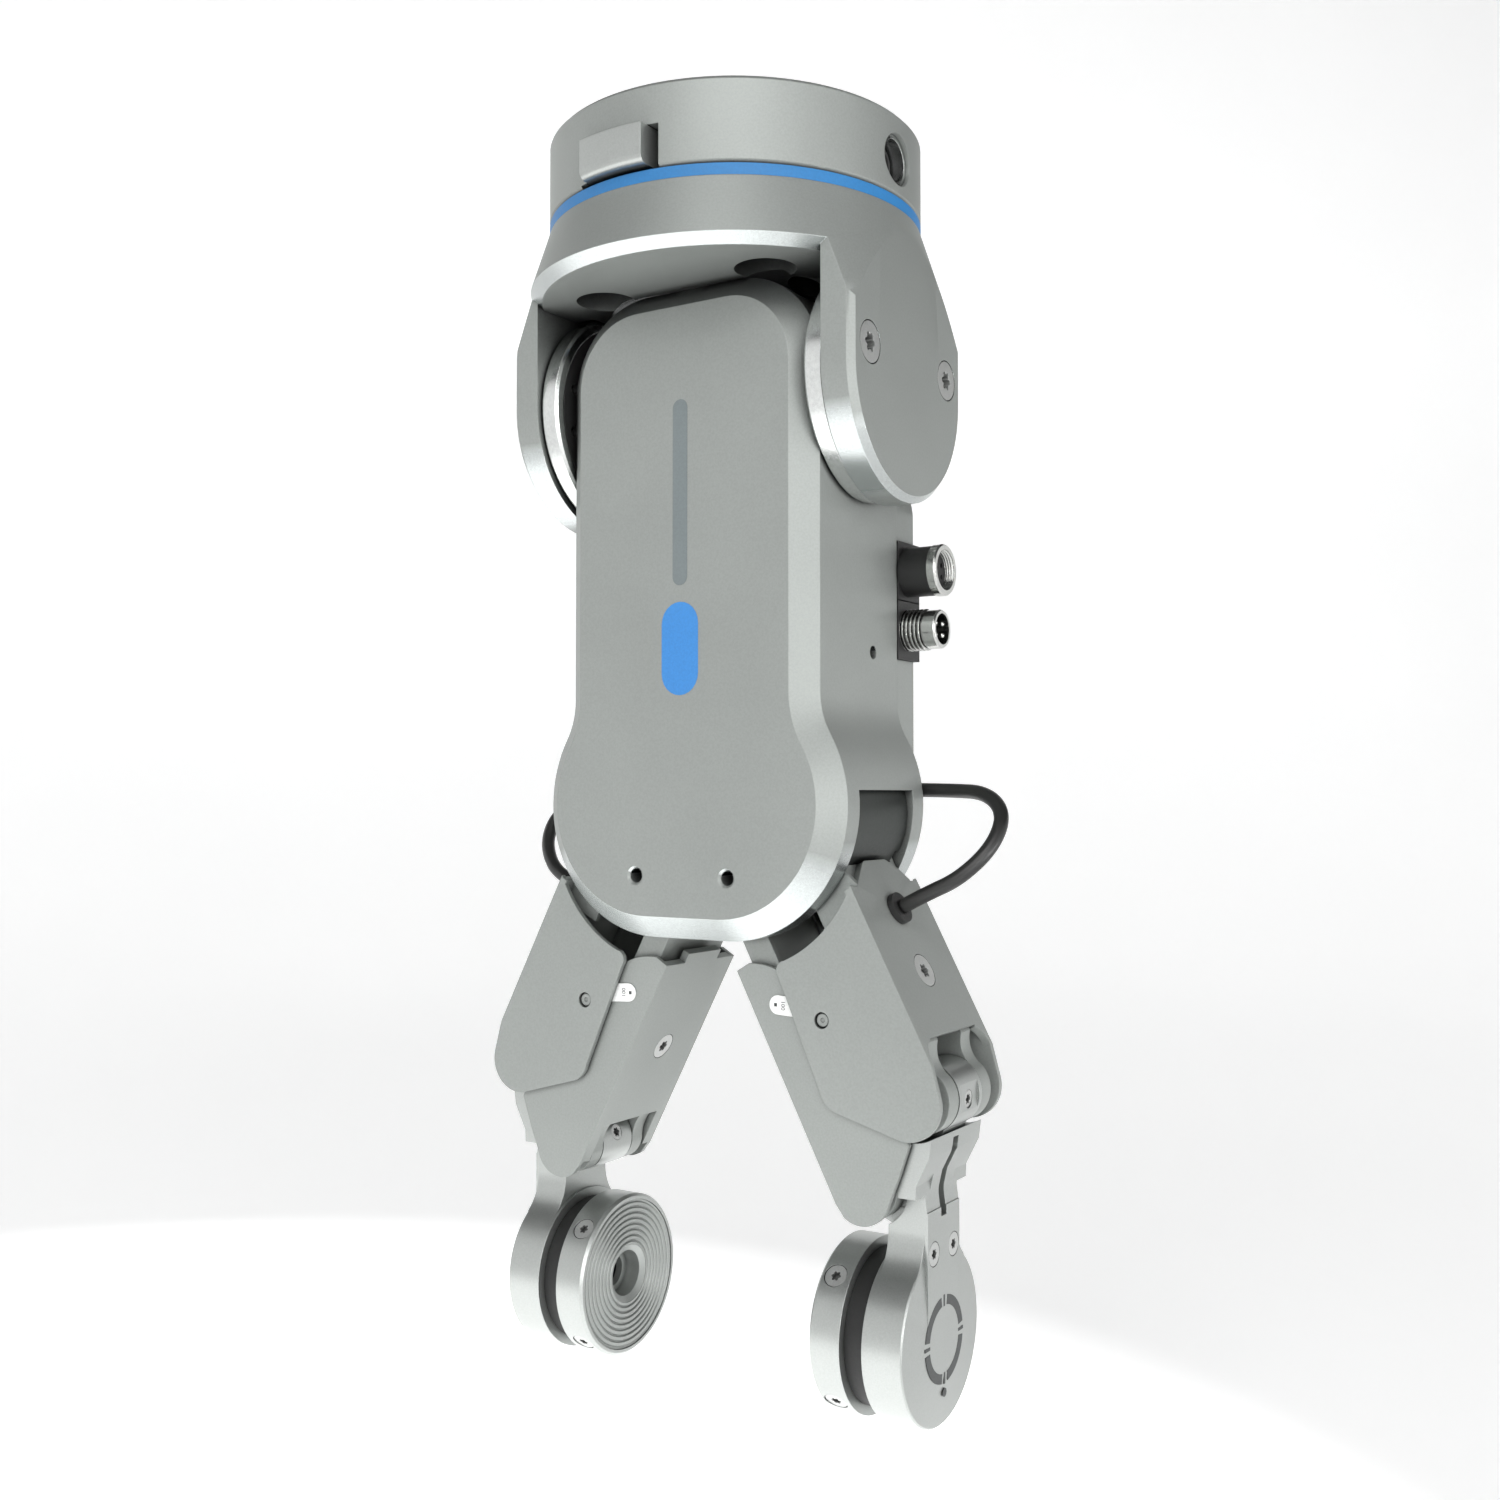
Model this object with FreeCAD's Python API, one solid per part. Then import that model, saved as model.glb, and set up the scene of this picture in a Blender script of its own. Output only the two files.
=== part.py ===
import FreeCAD, Part
import math
import os
from FreeCAD import Vector

os.makedirs("parts", exist_ok=True)

# Electric two-finger parallel gripper on a tilting fork bracket with a quick-change disc.
# Millimetres. Origin at the centre of the disc's top face, +Z up (towards the robot),
# +X along the finger opening, -Y the front of the gripper.

# ---------------------------------------------------------------- driving dimensions
DISC_R = 35.5
DISC_T = 15.28
RING_T = 2.07
BRACKET_TOP = -(DISC_T + RING_T)
BRACKET_SLOPE = 0.33
BRACKET_RIM_Z = -28.2
BRACKET_BOTTOM = -29.9
EAR_X_IN = 31.1
EAR_X_OUT = 37.28
EAR_HALF_W = 21.7
TILT_Z = -48.8
TILT_DISC_R = 20.8

BODY_X = 27.06
BODY_TOP = -29.6
BODY_FRONT = -18.68
BODY_CHAMFER_X = 4.14
BODY_CHAMFER_Y = -14.76
BODY_BACK = 14.7
BODY_CORNER_R = 17.1
WAIST_R = 14.6
LOBE_X = 8.0
LOBE_Z = -124.9
LOBE_R = 24.5
SLOT_HALF = 10.45

REST_ANGLE = 27.5
LINK_LENGTH = 55.0
PIVOT_UP_OUT = (17.18, -126.6)
PIVOT_UP_IN = (7.68, -143.1)
PIVOT_LOW_OUT = (42.58, -175.39)
PIVOT_LOW_IN = (33.08, -191.89)
RUN_GAP = 0.05
PIN_UP_R = 2.5
PIN_UP_IN_R = 1.8
PIN_LOW_R = 2.0
PIN_LOW_IN_R = 1.75

OUT_CHEEK_Y = (11.9, 12.9)
IN_CHEEK_Y = (10.6, 11.6)
OUT_WEB_U = (5.9, 7.4)
IN_WEB_U = (-5.4, -3.9)
ARM_Y = (8.95, 10.2)
DRUM_R = 14.2
DRUM_HALF = 8.7
DRUM_FACE = 10.15
WHEEL_TIP_R = 13.1
WORM_R = 4.0

TIP_Z = -217.6
TIP_R = 15.44
PAD_FACE_X = 24.8
BEZEL_BACK_X = 30.9
CORE_BACK_X = 35.2
CORE_R = 13.7
NECK_HALF = 6.4
NECK_X = 35.8
HOLDER_FACE_X = 43.4

CABLE_R = 1.35


# ---------------------------------------------------------------- helpers
def rod(radius, start, axis, length):
    return Part.makeCylinder(radius, length, Vector(*start), Vector(*axis))


def rod_y(radius, x, z, y0, y1):
    return rod(radius, (x, y0, z), (0, 1, 0), y1 - y0)


def rod_x(radius, y, z, x0, x1):
    return rod(radius, (x0, y, z), (1, 0, 0), x1 - x0)


def rod_z(radius, x, y, z0, z1):
    return rod(radius, (x, y, z0), (0, 0, 1), z1 - z0)


def cone(r0, r1, start, axis, length):
    return Part.makeCone(r0, r1, length, Vector(*start), Vector(*axis))


def block(x0, x1, y0, y1, z0, z1):
    return Part.makeBox(x1 - x0, y1 - y0, z1 - z0, Vector(x0, y0, z0))


def join(shapes):
    whole = shapes[0]
    for extra in shapes[1:]:
        whole = whole.fuse(extra)
    return whole.removeSplitter()


def outline(place, start, moves):
    """A closed wire of (a, b) lines and (am, bm, a, b) arcs; place turns a, b into a point."""
    edges = []
    here = place(*start)
    for move in list(moves) + [start]:
        there = place(move[-2], move[-1])
        if here.distanceToPoint(there) < 1e-6:
            continue
        if len(move) == 4:
            edges.append(Part.Arc(here, place(move[0], move[1]), there).toShape())
        else:
            edges.append(Part.makeLine(here, there))
        here = there
    return Part.Wire(edges)


def wire_xz(start, moves, y):
    return outline(lambda a, b: Vector(a, y, b), start, moves)


def prism_xy(start, moves, z0, z1):
    wire = outline(lambda a, b: Vector(a, b, z0), start, moves)
    return Part.Face(wire).extrude(Vector(0, 0, z1 - z0))


def prism_yz(start, moves, x0, x1):
    wire = outline(lambda a, b: Vector(x0, a, b), start, moves)
    return Part.Face(wire).extrude(Vector(x1 - x0, 0, 0))


def slab(start, moves, y0, y1):
    return Part.Face(wire_xz(start, moves, y0)).extrude(Vector(0, y1 - y0, 0))


def both_sides(start, moves, y_range):
    """The same slab at the front and at the back."""
    near = slab(start, moves, -y_range[1], -y_range[0])
    far = slab(start, moves, y_range[0], y_range[1])
    return [near, far]


def spin(points, origin, axis_x):
    """A solid of revolution about X (axis_x) or Z from (along, radius) points."""
    if axis_x:
        corners = [Vector(a, 0, r) + Vector(*origin) for a, r in points]
        direction = Vector(1, 0, 0)
    else:
        corners = [Vector(r, 0, a) + Vector(*origin) for a, r in points]
        direction = Vector(0, 0, 1)
    face = Part.Face(Part.makePolygon(corners + [corners[0]]))
    return face.revolve(Vector(*origin), direction, 360)


def mirrored(shape):
    return shape.mirror(Vector(0, 0, 0), Vector(1, 0, 0))


def turned(shape, pivot, angle):
    """A copy moved from its own pivot at the origin to the given one, swung outwards."""
    copy = shape.copy()
    copy.rotate(Vector(0, 0, 0), Vector(0, 1, 0), -angle)
    copy.translate(Vector(pivot[0], 0, pivot[1]))
    return copy


def drive_cut(centre, axis, radius, depth):
    """A six-lobe recess: a round well with six small flutes round it."""
    direction = Vector(*axis)
    start = Vector(*centre) - direction * depth
    well = Part.makeCylinder(radius * 0.72, depth + 0.5, start, direction)
    side = direction.cross(Vector(0, 0, 1))
    if side.Length < 0.1:
        side = Vector(1, 0, 0)
    side.normalize()
    other = direction.cross(side)
    for i in range(6):
        a = math.radians(60 * i)
        at = start + side * (radius * 0.72 * math.cos(a)) + other * (radius * 0.72 * math.sin(a))
        well = well.fuse(Part.makeCylinder(radius * 0.28, depth + 0.5, at, direction))
    return well


def flat_screw(centre, axis, head_r, head_h, shank_r, length, drive=0.46):
    """A countersunk screw: centre on its top face, axis pointing out of the material."""
    direction = Vector(*axis)
    direction.normalize()
    top = Vector(*centre)
    rim = 0.35
    disc = Part.makeCylinder(head_r, rim, top - direction * rim, direction)
    taper = Part.makeCone(shank_r, head_r, head_h - rim, top - direction * head_h, direction)
    shank = Part.makeCylinder(shank_r, length - head_h, top - direction * length, direction)
    body = disc.fuse(taper).fuse(shank).removeSplitter()
    drive = drive_cut(top, (direction.x, direction.y, direction.z), head_r * drive, head_h * 0.9)
    return body.cut(drive)


def flat_hole(centre, axis, head_r, head_h, shank_r, length, gap=0.06):
    """The hole for flat_screw, a little larger all round."""
    direction = Vector(*axis)
    direction.normalize()
    top = Vector(*centre)
    wide = head_r + gap
    rim = 0.35 + gap
    low = top - direction * (head_h + gap)
    disc = Part.makeCylinder(wide, rim + 1.0, top - direction * rim, direction)
    taper = Part.makeCone(shank_r + gap, wide, head_h - 0.35, low, direction)
    shank = Part.makeCylinder(shank_r + gap, length + 0.2, top - direction * (length + 0.2), direction)
    return disc.fuse(taper).fuse(shank)


def save(name, shapes):
    solids = []
    for shape in shapes:
        solids.extend(shape.Solids)
    for solid in solids:
        if not solid.isValid():
            print("INVALID", name)
    whole = solids[0] if len(solids) == 1 else Part.makeCompound(solids)
    whole.exportStep("parts/" + name + ".step")
    box = whole.BoundBox
    print(name, len(solids), "solids", round(whole.Volume), "mm3",
          [round(v, 2) for v in (box.XMin, box.XMax, box.YMin, box.YMax, box.ZMin, box.ZMax)])


def save_pair(name, shapes):
    """The right-hand finger's piece and its mirror image on the left."""
    save("right_" + name, shapes)
    save("left_" + name, [mirrored(s) for s in shapes])


# ---------------------------------------------------------------- quick-change disc
BOLT_PCD = 50.0
BOLT_HOLE_R = 3.3
DOWEL_R = 3.03
LATCH_X = (-9.1, 4.8)
LATCH_Z = (-14.6, -7.7)
LATCH_R = 37.9
NOTCH_X = (-9.5, 6.6)
NOTCH_TOP = -7.4
NOTCH_BACK_Y = -26.6
PORT_Y = -0.8
PORT_Z = -8.4

disc = Part.makeCylinder(DISC_R, DISC_T, Vector(0, 0, -DISC_T))
rim_edges = [e for e in disc.Edges if abs(e.BoundBox.ZMin - e.BoundBox.ZMax) < 0.01]
disc = disc.makeChamfer(0.7, rim_edges)
notch = block(NOTCH_X[0], NOTCH_X[1], -40, NOTCH_BACK_Y, -DISC_T - 1, NOTCH_TOP)
low_corner = block(NOTCH_X[0] - 1.5, NOTCH_X[1] + 0.01, -40, NOTCH_BACK_Y, -DISC_T - 1, -DISC_T + 0.9)
disc = disc.cut(notch).cut(low_corner)
spring_seat = rod(2.1, (-2.15, NOTCH_BACK_Y - 0.5, -11.2), (0, 1, 0), 3.5)
disc = disc.cut(spring_seat)
for k in range(4):
    a = math.radians(45 + 90 * k)
    x = BOLT_PCD / 2 * math.cos(a)
    y = BOLT_PCD / 2 * math.sin(a)
    disc = disc.cut(rod_z(BOLT_HOLE_R, x, y, -DISC_T - 1, 1))
disc = disc.cut(rod_z(DOWEL_R, 0, BOLT_PCD / 2, -6.0, 1))
disc = disc.cut(block(-11, 11, -9, 9, -4.0, 1))
port_hole = rod_x(4.7, PORT_Y, PORT_Z, 30.0, 40)
port_core = rod_x(2.6, PORT_Y, PORT_Z, 24.0, 40)
disc = disc.cut(port_hole).cut(port_core)
for k in range(3):
    a = math.radians(30 + 120 * k)
    x = 13.5 * math.cos(a)
    y = 13.5 * math.sin(a)
    disc = disc.cut(rod_z(2.03, x, y, -DISC_T - 1, -5.2))
save("changer_disc", [disc])

port = rod_x(4.64, PORT_Y, PORT_Z, 30.05, 34.65)
port = port.cut(rod_x(3.8, PORT_Y, PORT_Z, 31.6, 41)).cut(rod_x(2.6, PORT_Y, PORT_Z, 29, 41))
save("port_bush", [port])

contact = block(-10.9, 10.9, -8.9, 8.9, -3.95, -0.9)
for i in range(4):
    for j in range(2):
        contact = contact.cut(rod_z(0.9, -6.9 + 4.6 * i, -3.0 + 6.0 * j, -1.8, 0))
for i in range(4):
    for j in range(2):
        contact = contact.fuse(rod_z(0.7, -6.9 + 4.6 * i, -3.0 + 6.0 * j, -1.9, -0.5))
save("contact_block", [contact.removeSplitter()])

latch = Part.makeCylinder(LATCH_R, LATCH_Z[1] - LATCH_Z[0], Vector(0, 0, LATCH_Z[0]))
latch = latch.common(block(LATCH_X[0], LATCH_X[1], -40, -29.6, -20, 0))
front_edges = []
for e in latch.Edges:
    b = e.BoundBox
    if b.YMax < -36 and b.ZMax < LATCH_Z[0] + 0.1 and b.XLength > 5:
        front_edges.append(e)
latch = latch.makeFillet(1.5, front_edges)
latch = latch.cut(rod(2.1, (-2.15, -31.6, -11.2), (0, 1, 0), 4))
save("latch_button", [latch])

coil = []
for k in range(5):
    y = -31.2 + 1.55 * k
    turn = Part.makeTorus(1.55, 0.35, Vector(-2.15, y, -11.2), Vector(0, 1, 0))
    coil.append(turn)
save("latch_spring", coil)

seal = Part.makeCylinder(DISC_R, RING_T - 0.02, Vector(0, 0, BRACKET_TOP + 0.01))
seal = seal.cut(Part.makeCylinder(18.2, 10, Vector(0, 0, BRACKET_TOP - 2)))
for k in range(4):
    a = math.radians(45 + 90 * k)
    x = BOLT_PCD / 2 * math.cos(a)
    y = BOLT_PCD / 2 * math.sin(a)
    seal = seal.cut(rod_z(BOLT_HOLE_R, x, y, -30, 1))
save("changer_seal_ring", [seal])

# ---------------------------------------------------------------- tilt bracket
low_z = TILT_Z - EAR_HALF_W
cone_h = BRACKET_TOP - low_z
cone_r = DISC_R + BRACKET_SLOPE * cone_h
full_cone = cone(cone_r, DISC_R, (0, 0, low_z), (0, 0, 1), cone_h)
rim_r = DISC_R + BRACKET_SLOPE * (BRACKET_TOP - BRACKET_RIM_Z)
rim_profile = [(BRACKET_TOP, 0), (BRACKET_TOP, DISC_R), (BRACKET_RIM_Z, rim_r),
               (BRACKET_BOTTOM, rim_r - 2.2), (BRACKET_BOTTOM, 0)]
crown = spin(rim_profile, (0, 0, 0), False)
crown = crown.common(block(-EAR_X_OUT, EAR_X_OUT, -50, 50, -31, 0))

ear_side = [(-EAR_HALF_W, TILT_Z), (0.0, TILT_Z - EAR_HALF_W, EAR_HALF_W, TILT_Z), (EAR_HALF_W, -24.0)]
ears = []
for side in (-1, 1):
    x0 = EAR_X_IN if side > 0 else -EAR_X_OUT
    plate = prism_yz((-EAR_HALF_W, -24.0), ear_side, x0, x0 + EAR_X_OUT - EAR_X_IN)
    outer_x = side * EAR_X_OUT
    rim_edges = []
    for e in plate.Edges:
        b = e.BoundBox
        if abs(b.XMin - outer_x) < 0.01 and abs(b.XMax - outer_x) < 0.01 and b.ZMin < -30:
            rim_edges.append(e)
    plate = plate.makeChamfer(1.2, rim_edges)
    ears.append(plate.common(full_cone))
bracket = join([crown] + ears)

# the underside is hollowed by the housing's sweep round the tilt axis
recess_profile = [(-31.1, 0), (-31.1, 21.5), (-26.4, 21.5), (-26.0, 18.4), (-23.0, 20.9),
                  (-18.0, 23.6), (-11.0, 24.8), (11.0, 24.8), (18.0, 23.6), (23.0, 20.9),
                  (26.0, 18.4), (26.4, 21.5), (31.1, 21.5), (31.1, 0)]
bracket = bracket.cut(spin(recess_profile, (0, 0, TILT_Z), True))
for side in (-1, 1):
    bearing = rod_x(8.05, 0, TILT_Z, 31.0, 34.6)
    if side < 0:
        bearing = mirrored(bearing)
    bracket = bracket.cut(bearing)

EAR_SCREW_Y = 15.2
EAR_SCREW_Z = -45.3
ear_screws = []
for side in (-1, 1):
    for sy in (-1, 1):
        at = (side * (EAR_X_OUT - 0.05), sy * EAR_SCREW_Y, EAR_SCREW_Z)
        ear_screws.append(flat_screw(at, (side, 0, 0), 3.6, 2.0, 1.5, 7.2, 0.5))
        bracket = bracket.cut(flat_hole(at, (side, 0, 0), 3.6, 2.0, 1.5, 7.2, 0.2))

mount_screws = []
for k in range(3):
    a = math.radians(30 + 120 * k)
    x = 13.5 * math.cos(a)
    y = 13.5 * math.sin(a)
    head = rod_z(3.4, x, y, BRACKET_TOP - 3.6, BRACKET_TOP - 0.9)
    shank = rod_z(2.0, x, y, BRACKET_TOP - 1.0, -5.4)
    socket = rod_z(1.6, x, y, BRACKET_TOP - 3.7, BRACKET_TOP - 2.2)
    mount_screws.append(head.fuse(shank).removeSplitter().cut(socket))
    bracket = bracket.cut(rod_z(3.5, x, y, -32, BRACKET_TOP - 0.85))
    bracket = bracket.cut(rod_z(2.06, x, y, -32, BRACKET_TOP + 1))
for k in range(4):
    a = math.radians(45 + 90 * k)
    x = BOLT_PCD / 2 * math.cos(a)
    y = BOLT_PCD / 2 * math.sin(a)
    bracket = bracket.cut(rod_z(5.6, x, y, -32, BRACKET_TOP + 1))
save("tilt_bracket", [bracket])
save("ear_screws", ear_screws)
save("bracket_screws", mount_screws)


# ---------------------------------------------------------------- housing
def body_wire(inset, y):
    """The housing's outline, moved inwards by inset, at a plane of constant y."""
    r = BODY_CORNER_R - inset
    cx = BODY_X - BODY_CORNER_R
    cz = BODY_TOP - BODY_CORNER_R
    d = math.sqrt(0.5)
    wx = BODY_X + WAIST_R
    reach = WAIST_R + LOBE_R
    ux = (wx - LOBE_X) / reach
    uz = math.sqrt(1 - ux * ux)
    wz = LOBE_Z + reach * uz
    lobe = LOBE_R - inset
    waist = WAIST_R + inset
    tx = LOBE_X + lobe * ux
    tz = LOBE_Z + lobe * uz
    ang = math.atan2(-uz, -ux)
    mid_a = (ang + (-math.pi)) / 2
    mx = wx + waist * math.cos(mid_a)
    mz = wz + waist * math.sin(mid_a)
    low = LOBE_Z - lobe
    right = [(cx + r * d, cz + r * d, cx + r, cz),
             (cx + r, wz),
             (mx, mz, tx, tz),
             (LOBE_X + lobe * math.cos(-0.55), LOBE_Z + lobe * math.sin(-0.55), LOBE_X, low)]
    left = [(-LOBE_X, low),
            (-LOBE_X - lobe * math.cos(-0.55), LOBE_Z + lobe * math.sin(-0.55), -tx, tz),
            (-mx, mz, -cx - r, wz),
            (-cx - r, cz),
            (-cx - r * d, cz + r * d, -cx, cz + r)]
    return wire_xz((cx, cz + r), right + left, y)


shell = Part.Face(body_wire(0, BODY_CHAMFER_Y)).extrude(Vector(0, BODY_BACK - BODY_CHAMFER_Y, 0))
bevel = Part.makeLoft([body_wire(BODY_CHAMFER_X, BODY_FRONT), body_wire(0, BODY_CHAMFER_Y)], True, True)
shell = join([shell, bevel])

# room for the motor and gearhead, open at the back and closed by the rear cover
motor_room = block(-24.6, 24.6, -12.3, 12.2, -104.0, -33.0)
corner_cut = 9.0
for side in (-1, 1):
    wedge_side = [(side * 24.7, -33 - corner_cut), (side * (24.7 - corner_cut), -33 + 0.1)]
    wedge = slab((side * 24.7, -33 + 0.1), wedge_side, -13, 21)
    motor_room = motor_room.cut(wedge)
shell = shell.cut(motor_room)
shell = shell.cut(block(-22.0, 22.0, 5.0, 20.0, -101.5, -68.0))

# the slot between the lobe plates, with a round chamber for each worm wheel
slot = block(-40, 40, -SLOT_HALF, SLOT_HALF, -160, -134.0)
slot = slot.cut(block(-4.5, 4.5, -20, 20, -139.2, -130))
for side in (-1, 1):
    px = side * PIVOT_UP_OUT[0]
    slot = slot.fuse(rod_y(14.75, px, PIVOT_UP_OUT[1], -SLOT_HALF, SLOT_HALF))
    x0, x1 = sorted((side * PIVOT_UP_OUT[0], side * 40.0))
    slot = slot.fuse(block(x0, x1, -SLOT_HALF, SLOT_HALF, -134.1, -122.2))
slot = slot.fuse(rod_z(5.0, 0, 0, -134.2, -103))
slot = slot.fuse(rod_z(5.6, 0, 0, -106.6, -103.5))
shell = shell.cut(slot)
shell = shell.cut(rod_z(3.55, 0, 0, -138.2, -130))

for side in (-1, 1):
    shell = shell.cut(rod_y(PIN_UP_R, side * PIVOT_UP_OUT[0], PIVOT_UP_OUT[1], -15.0, 15.0))
    shell = shell.cut(rod_y(PIN_UP_IN_R, side * PIVOT_UP_IN[0], PIVOT_UP_IN[1], -14.0, 15.0))

FRONT_HOLE_X = 10.0
FRONT_HOLE_Z = -137.9
for side in (-1, 1):
    shell = shell.cut(rod_y(1.3, side * FRONT_HOLE_X, FRONT_HOLE_Z, BODY_FRONT - 1, BODY_FRONT + 5.5))
    lead_in = (side * FRONT_HOLE_X, BODY_FRONT - 0.001, FRONT_HOLE_Z)
    shell = shell.cut(cone(1.75, 1.3, lead_in, (0, 1, 0), 0.45))
    shell = shell.cut(rod_x(1.25, 5.0, -96.7, side * BODY_X - 1.5, side * BODY_X + 1.5))

# seats for the tilt discs' spigots and screws
for side in (-1, 1):
    shell = shell.cut(rod_x(3.0, 0, TILT_Z, side * 25.8 - 3, side * 25.8 + 3))
    for k in range(3):
        a = math.radians(90 + 120 * k)
        y = 8.5 * math.cos(a)
        z = TILT_Z + 8.5 * math.sin(a)
        shell = shell.cut(rod_x(1.2, y, z, side * 25.8 - 3, side * 25.8 + 3))

COVER_SCREWS = [(-21.5, -70.0), (21.5, -100.5), (-21.5, -100.5)]
for x, z in COVER_SCREWS:
    pad_x0, pad_x1 = sorted((math.copysign(18.3, x), math.copysign(25.0, x)))
    shell = shell.fuse(block(pad_x0, pad_x1, 6.0, BODY_BACK, z - 3.2, z + 3.2))
for x, z in COVER_SCREWS:
    shell = shell.cut(rod_y(1.06, x, z, 8.0, 20))
shell = shell.removeSplitter()
save("housing", [shell])

# ---------------------------------------------------------------- tilt discs
INDEX_R = 18.6


def tilt_disc():
    profile = [(BODY_X + 0.02, INDEX_R + 0.2), (BODY_X + 0.02, TILT_DISC_R - 0.5), (BODY_X + 0.52, TILT_DISC_R),
               (30.5, TILT_DISC_R), (31.0, TILT_DISC_R - 0.5), (31.0, 17.4), (29.3, 17.4), (29.3, 13.8),
               (31.0, 13.8), (31.0, 8.0), (34.4, 8.0), (34.4, 0), (BODY_X + 1.2, 0), (BODY_X + 1.2, INDEX_R + 0.2)]
    body = spin(profile, (0, 0, TILT_Z), True)
    for k in range(3):
        a = math.radians(90 + 120 * k)
        y = 4.6 * math.cos(a)
        z = TILT_Z + 4.6 * math.sin(a)
        body = body.cut(rod_x(1.5, y, z, 26, 36))
        body = body.cut(rod_x(2.6, y, z, 32.6, 36))
    return body


save("tilt_discs", [tilt_disc(), mirrored(tilt_disc())])

index_plate = rod_x(INDEX_R, 0, TILT_Z, BODY_X + 0.02, BODY_X + 1.18)
for k in range(3):
    a = math.radians(90 + 120 * k)
    index_plate = index_plate.cut(rod_x(1.5, 4.6 * math.cos(a), TILT_Z + 4.6 * math.sin(a), 26, 30))
for k in range(12):
    a = math.radians(15 + 30 * k)
    index_plate = index_plate.cut(rod_x(1.1, 15.8 * math.cos(a), TILT_Z + 15.8 * math.sin(a), 26, 30))
plates = [index_plate, mirrored(index_plate)]
save("index_plates", plates)

# ---------------------------------------------------------------- rear cover and connectors
COVER_TOP = -63.0
COVER_BOTTOM = -131.0
COVER_X = 26.7
COVER_DEPTH = 38.3
TOP_R = 6.4
EDGE_R = 2.4
k45 = 1 - math.sqrt(0.5)
half = 16.5
plan = [(COVER_X, 22.4), (half, 33.0), (half, COVER_DEPTH - EDGE_R),
        (half - EDGE_R * k45, COVER_DEPTH - EDGE_R * k45, half - EDGE_R, COVER_DEPTH),
        (-half + EDGE_R, COVER_DEPTH),
        (-half + EDGE_R * k45, COVER_DEPTH - EDGE_R * k45, -half, COVER_DEPTH - EDGE_R),
        (-half, 33.0), (-COVER_X, 22.4), (-COVER_X, BODY_BACK + 0.02)]
cover = prism_xy((COVER_X, BODY_BACK + 0.02), plan, COVER_BOTTOM, COVER_TOP)
back_view = [(COVER_X, COVER_TOP - TOP_R),
             (COVER_X - TOP_R * k45, COVER_TOP - TOP_R * k45, COVER_X - TOP_R, COVER_TOP),
             (-COVER_X + TOP_R, COVER_TOP),
             (-COVER_X + TOP_R * k45, COVER_TOP - TOP_R * k45, -COVER_X, COVER_TOP - TOP_R),
             (-COVER_X, COVER_BOTTOM)]
cover = cover.common(slab((COVER_X, COVER_BOTTOM), back_view, 5, 45))
side_view = [(COVER_DEPTH, COVER_TOP - TOP_R),
             (COVER_DEPTH - TOP_R * k45, COVER_TOP - TOP_R * k45, COVER_DEPTH - TOP_R, COVER_TOP),
             (5.0, COVER_TOP), (5.0, COVER_BOTTOM)]
cover = cover.common(prism_yz((COVER_DEPTH, COVER_BOTTOM), side_view, -40, 40))
inner = [(24.0, 21.4), (14.2, 31.6), (14.2, 36.0), (-14.2, 36.0), (-14.2, 31.6), (-24.0, 21.4), (-24.0, 14.0)]
cavity = prism_xy((24.0, 14.0), inner, COVER_BOTTOM + 2.4, COVER_TOP - 8.4)
cavity = cavity.cut(block(-30, 30, 10, BODY_BACK + 2.4, -132, -104.5))
cover = cover.cut(cavity)

SOCKET_Y = 19.2
SOCKET_Z = -80.3
PLUG_Z = -91.5
for z in (SOCKET_Z, PLUG_Z):
    cover = cover.cut(block(26.1, 28, BODY_BACK + 0.1, 24.0, z - 5.75, z + 5.75))
    cover = cover.cut(rod_x(4.05, SOCKET_Y, z, 22, 28))
cover_screws = []
for x, z in COVER_SCREWS:
    cover = cover.fuse(rod_y(2.9, x, z, BODY_BACK + 0.02, 21.2))
for x, z in COVER_SCREWS:
    shaft = rod_y(1.0, x, z, 8.4, 18.0)
    head = rod_y(1.9, x, z, 17.9, 19.6)
    piece = head.fuse(shaft).removeSplitter()
    piece = piece.cut(drive_cut((x, 19.6, z), (0, 1, 0), 1.0, 1.0))
    cover_screws.append(piece)
    cover = cover.cut(rod_y(1.06, x, z, 10, 22))
    cover = cover.cut(rod_y(1.98, x, z, 17.86, 40))
GLAND_Z = -122.1
GLAND_Y = 18.0
for side in (-1, 1):
    cover = cover.cut(rod_x(2.2, GLAND_Y, GLAND_Z, side * COVER_X - 4, side * COVER_X + 4))
cover = cover.removeSplitter()
save("rear_cover", [cover])
save("rear_cover_screws", cover_screws)


def flange(z):
    plate = block(26.12, 27.3, BODY_BACK + 0.15, 23.9, z - 5.7, z + 5.7)
    return plate.cut(rod_x(4.0, SOCKET_Y, z, 20, 30))


save("connector_flanges", [flange(SOCKET_Z), flange(PLUG_Z)])

socket_shell = rod_x(3.98, SOCKET_Y, SOCKET_Z, 22.0, 27.35)
socket_shell = socket_shell.fuse(rod_x(4.75, SOCKET_Y, SOCKET_Z, 27.32, 33.4)).removeSplitter()
socket_shell = socket_shell.cut(rod_x(3.2, SOCKET_Y, SOCKET_Z, 23.0, 40))
save("socket_body", [socket_shell])
ring_profile = [(33.42, 3.4), (33.42, 4.97), (34.9, 4.97), (35.2, 4.7), (35.2, 3.85)]
for k in range(3):
    a = 35.0 - 0.5 * k
    ring_profile.append((a, 3.85))
    ring_profile.append((a - 0.25, 3.6))
ring_profile.append((33.5, 3.6))
socket_ring = spin(ring_profile, (0, SOCKET_Y, SOCKET_Z), True)
save("socket_ring", [socket_ring])
insert = rod_x(3.15, SOCKET_Y, SOCKET_Z, 24.0, 33.6)
CONTACTS = [(1.45, 1.1), (-1.45, 1.1), (1.45, -1.1), (-1.45, -1.1)]
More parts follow.
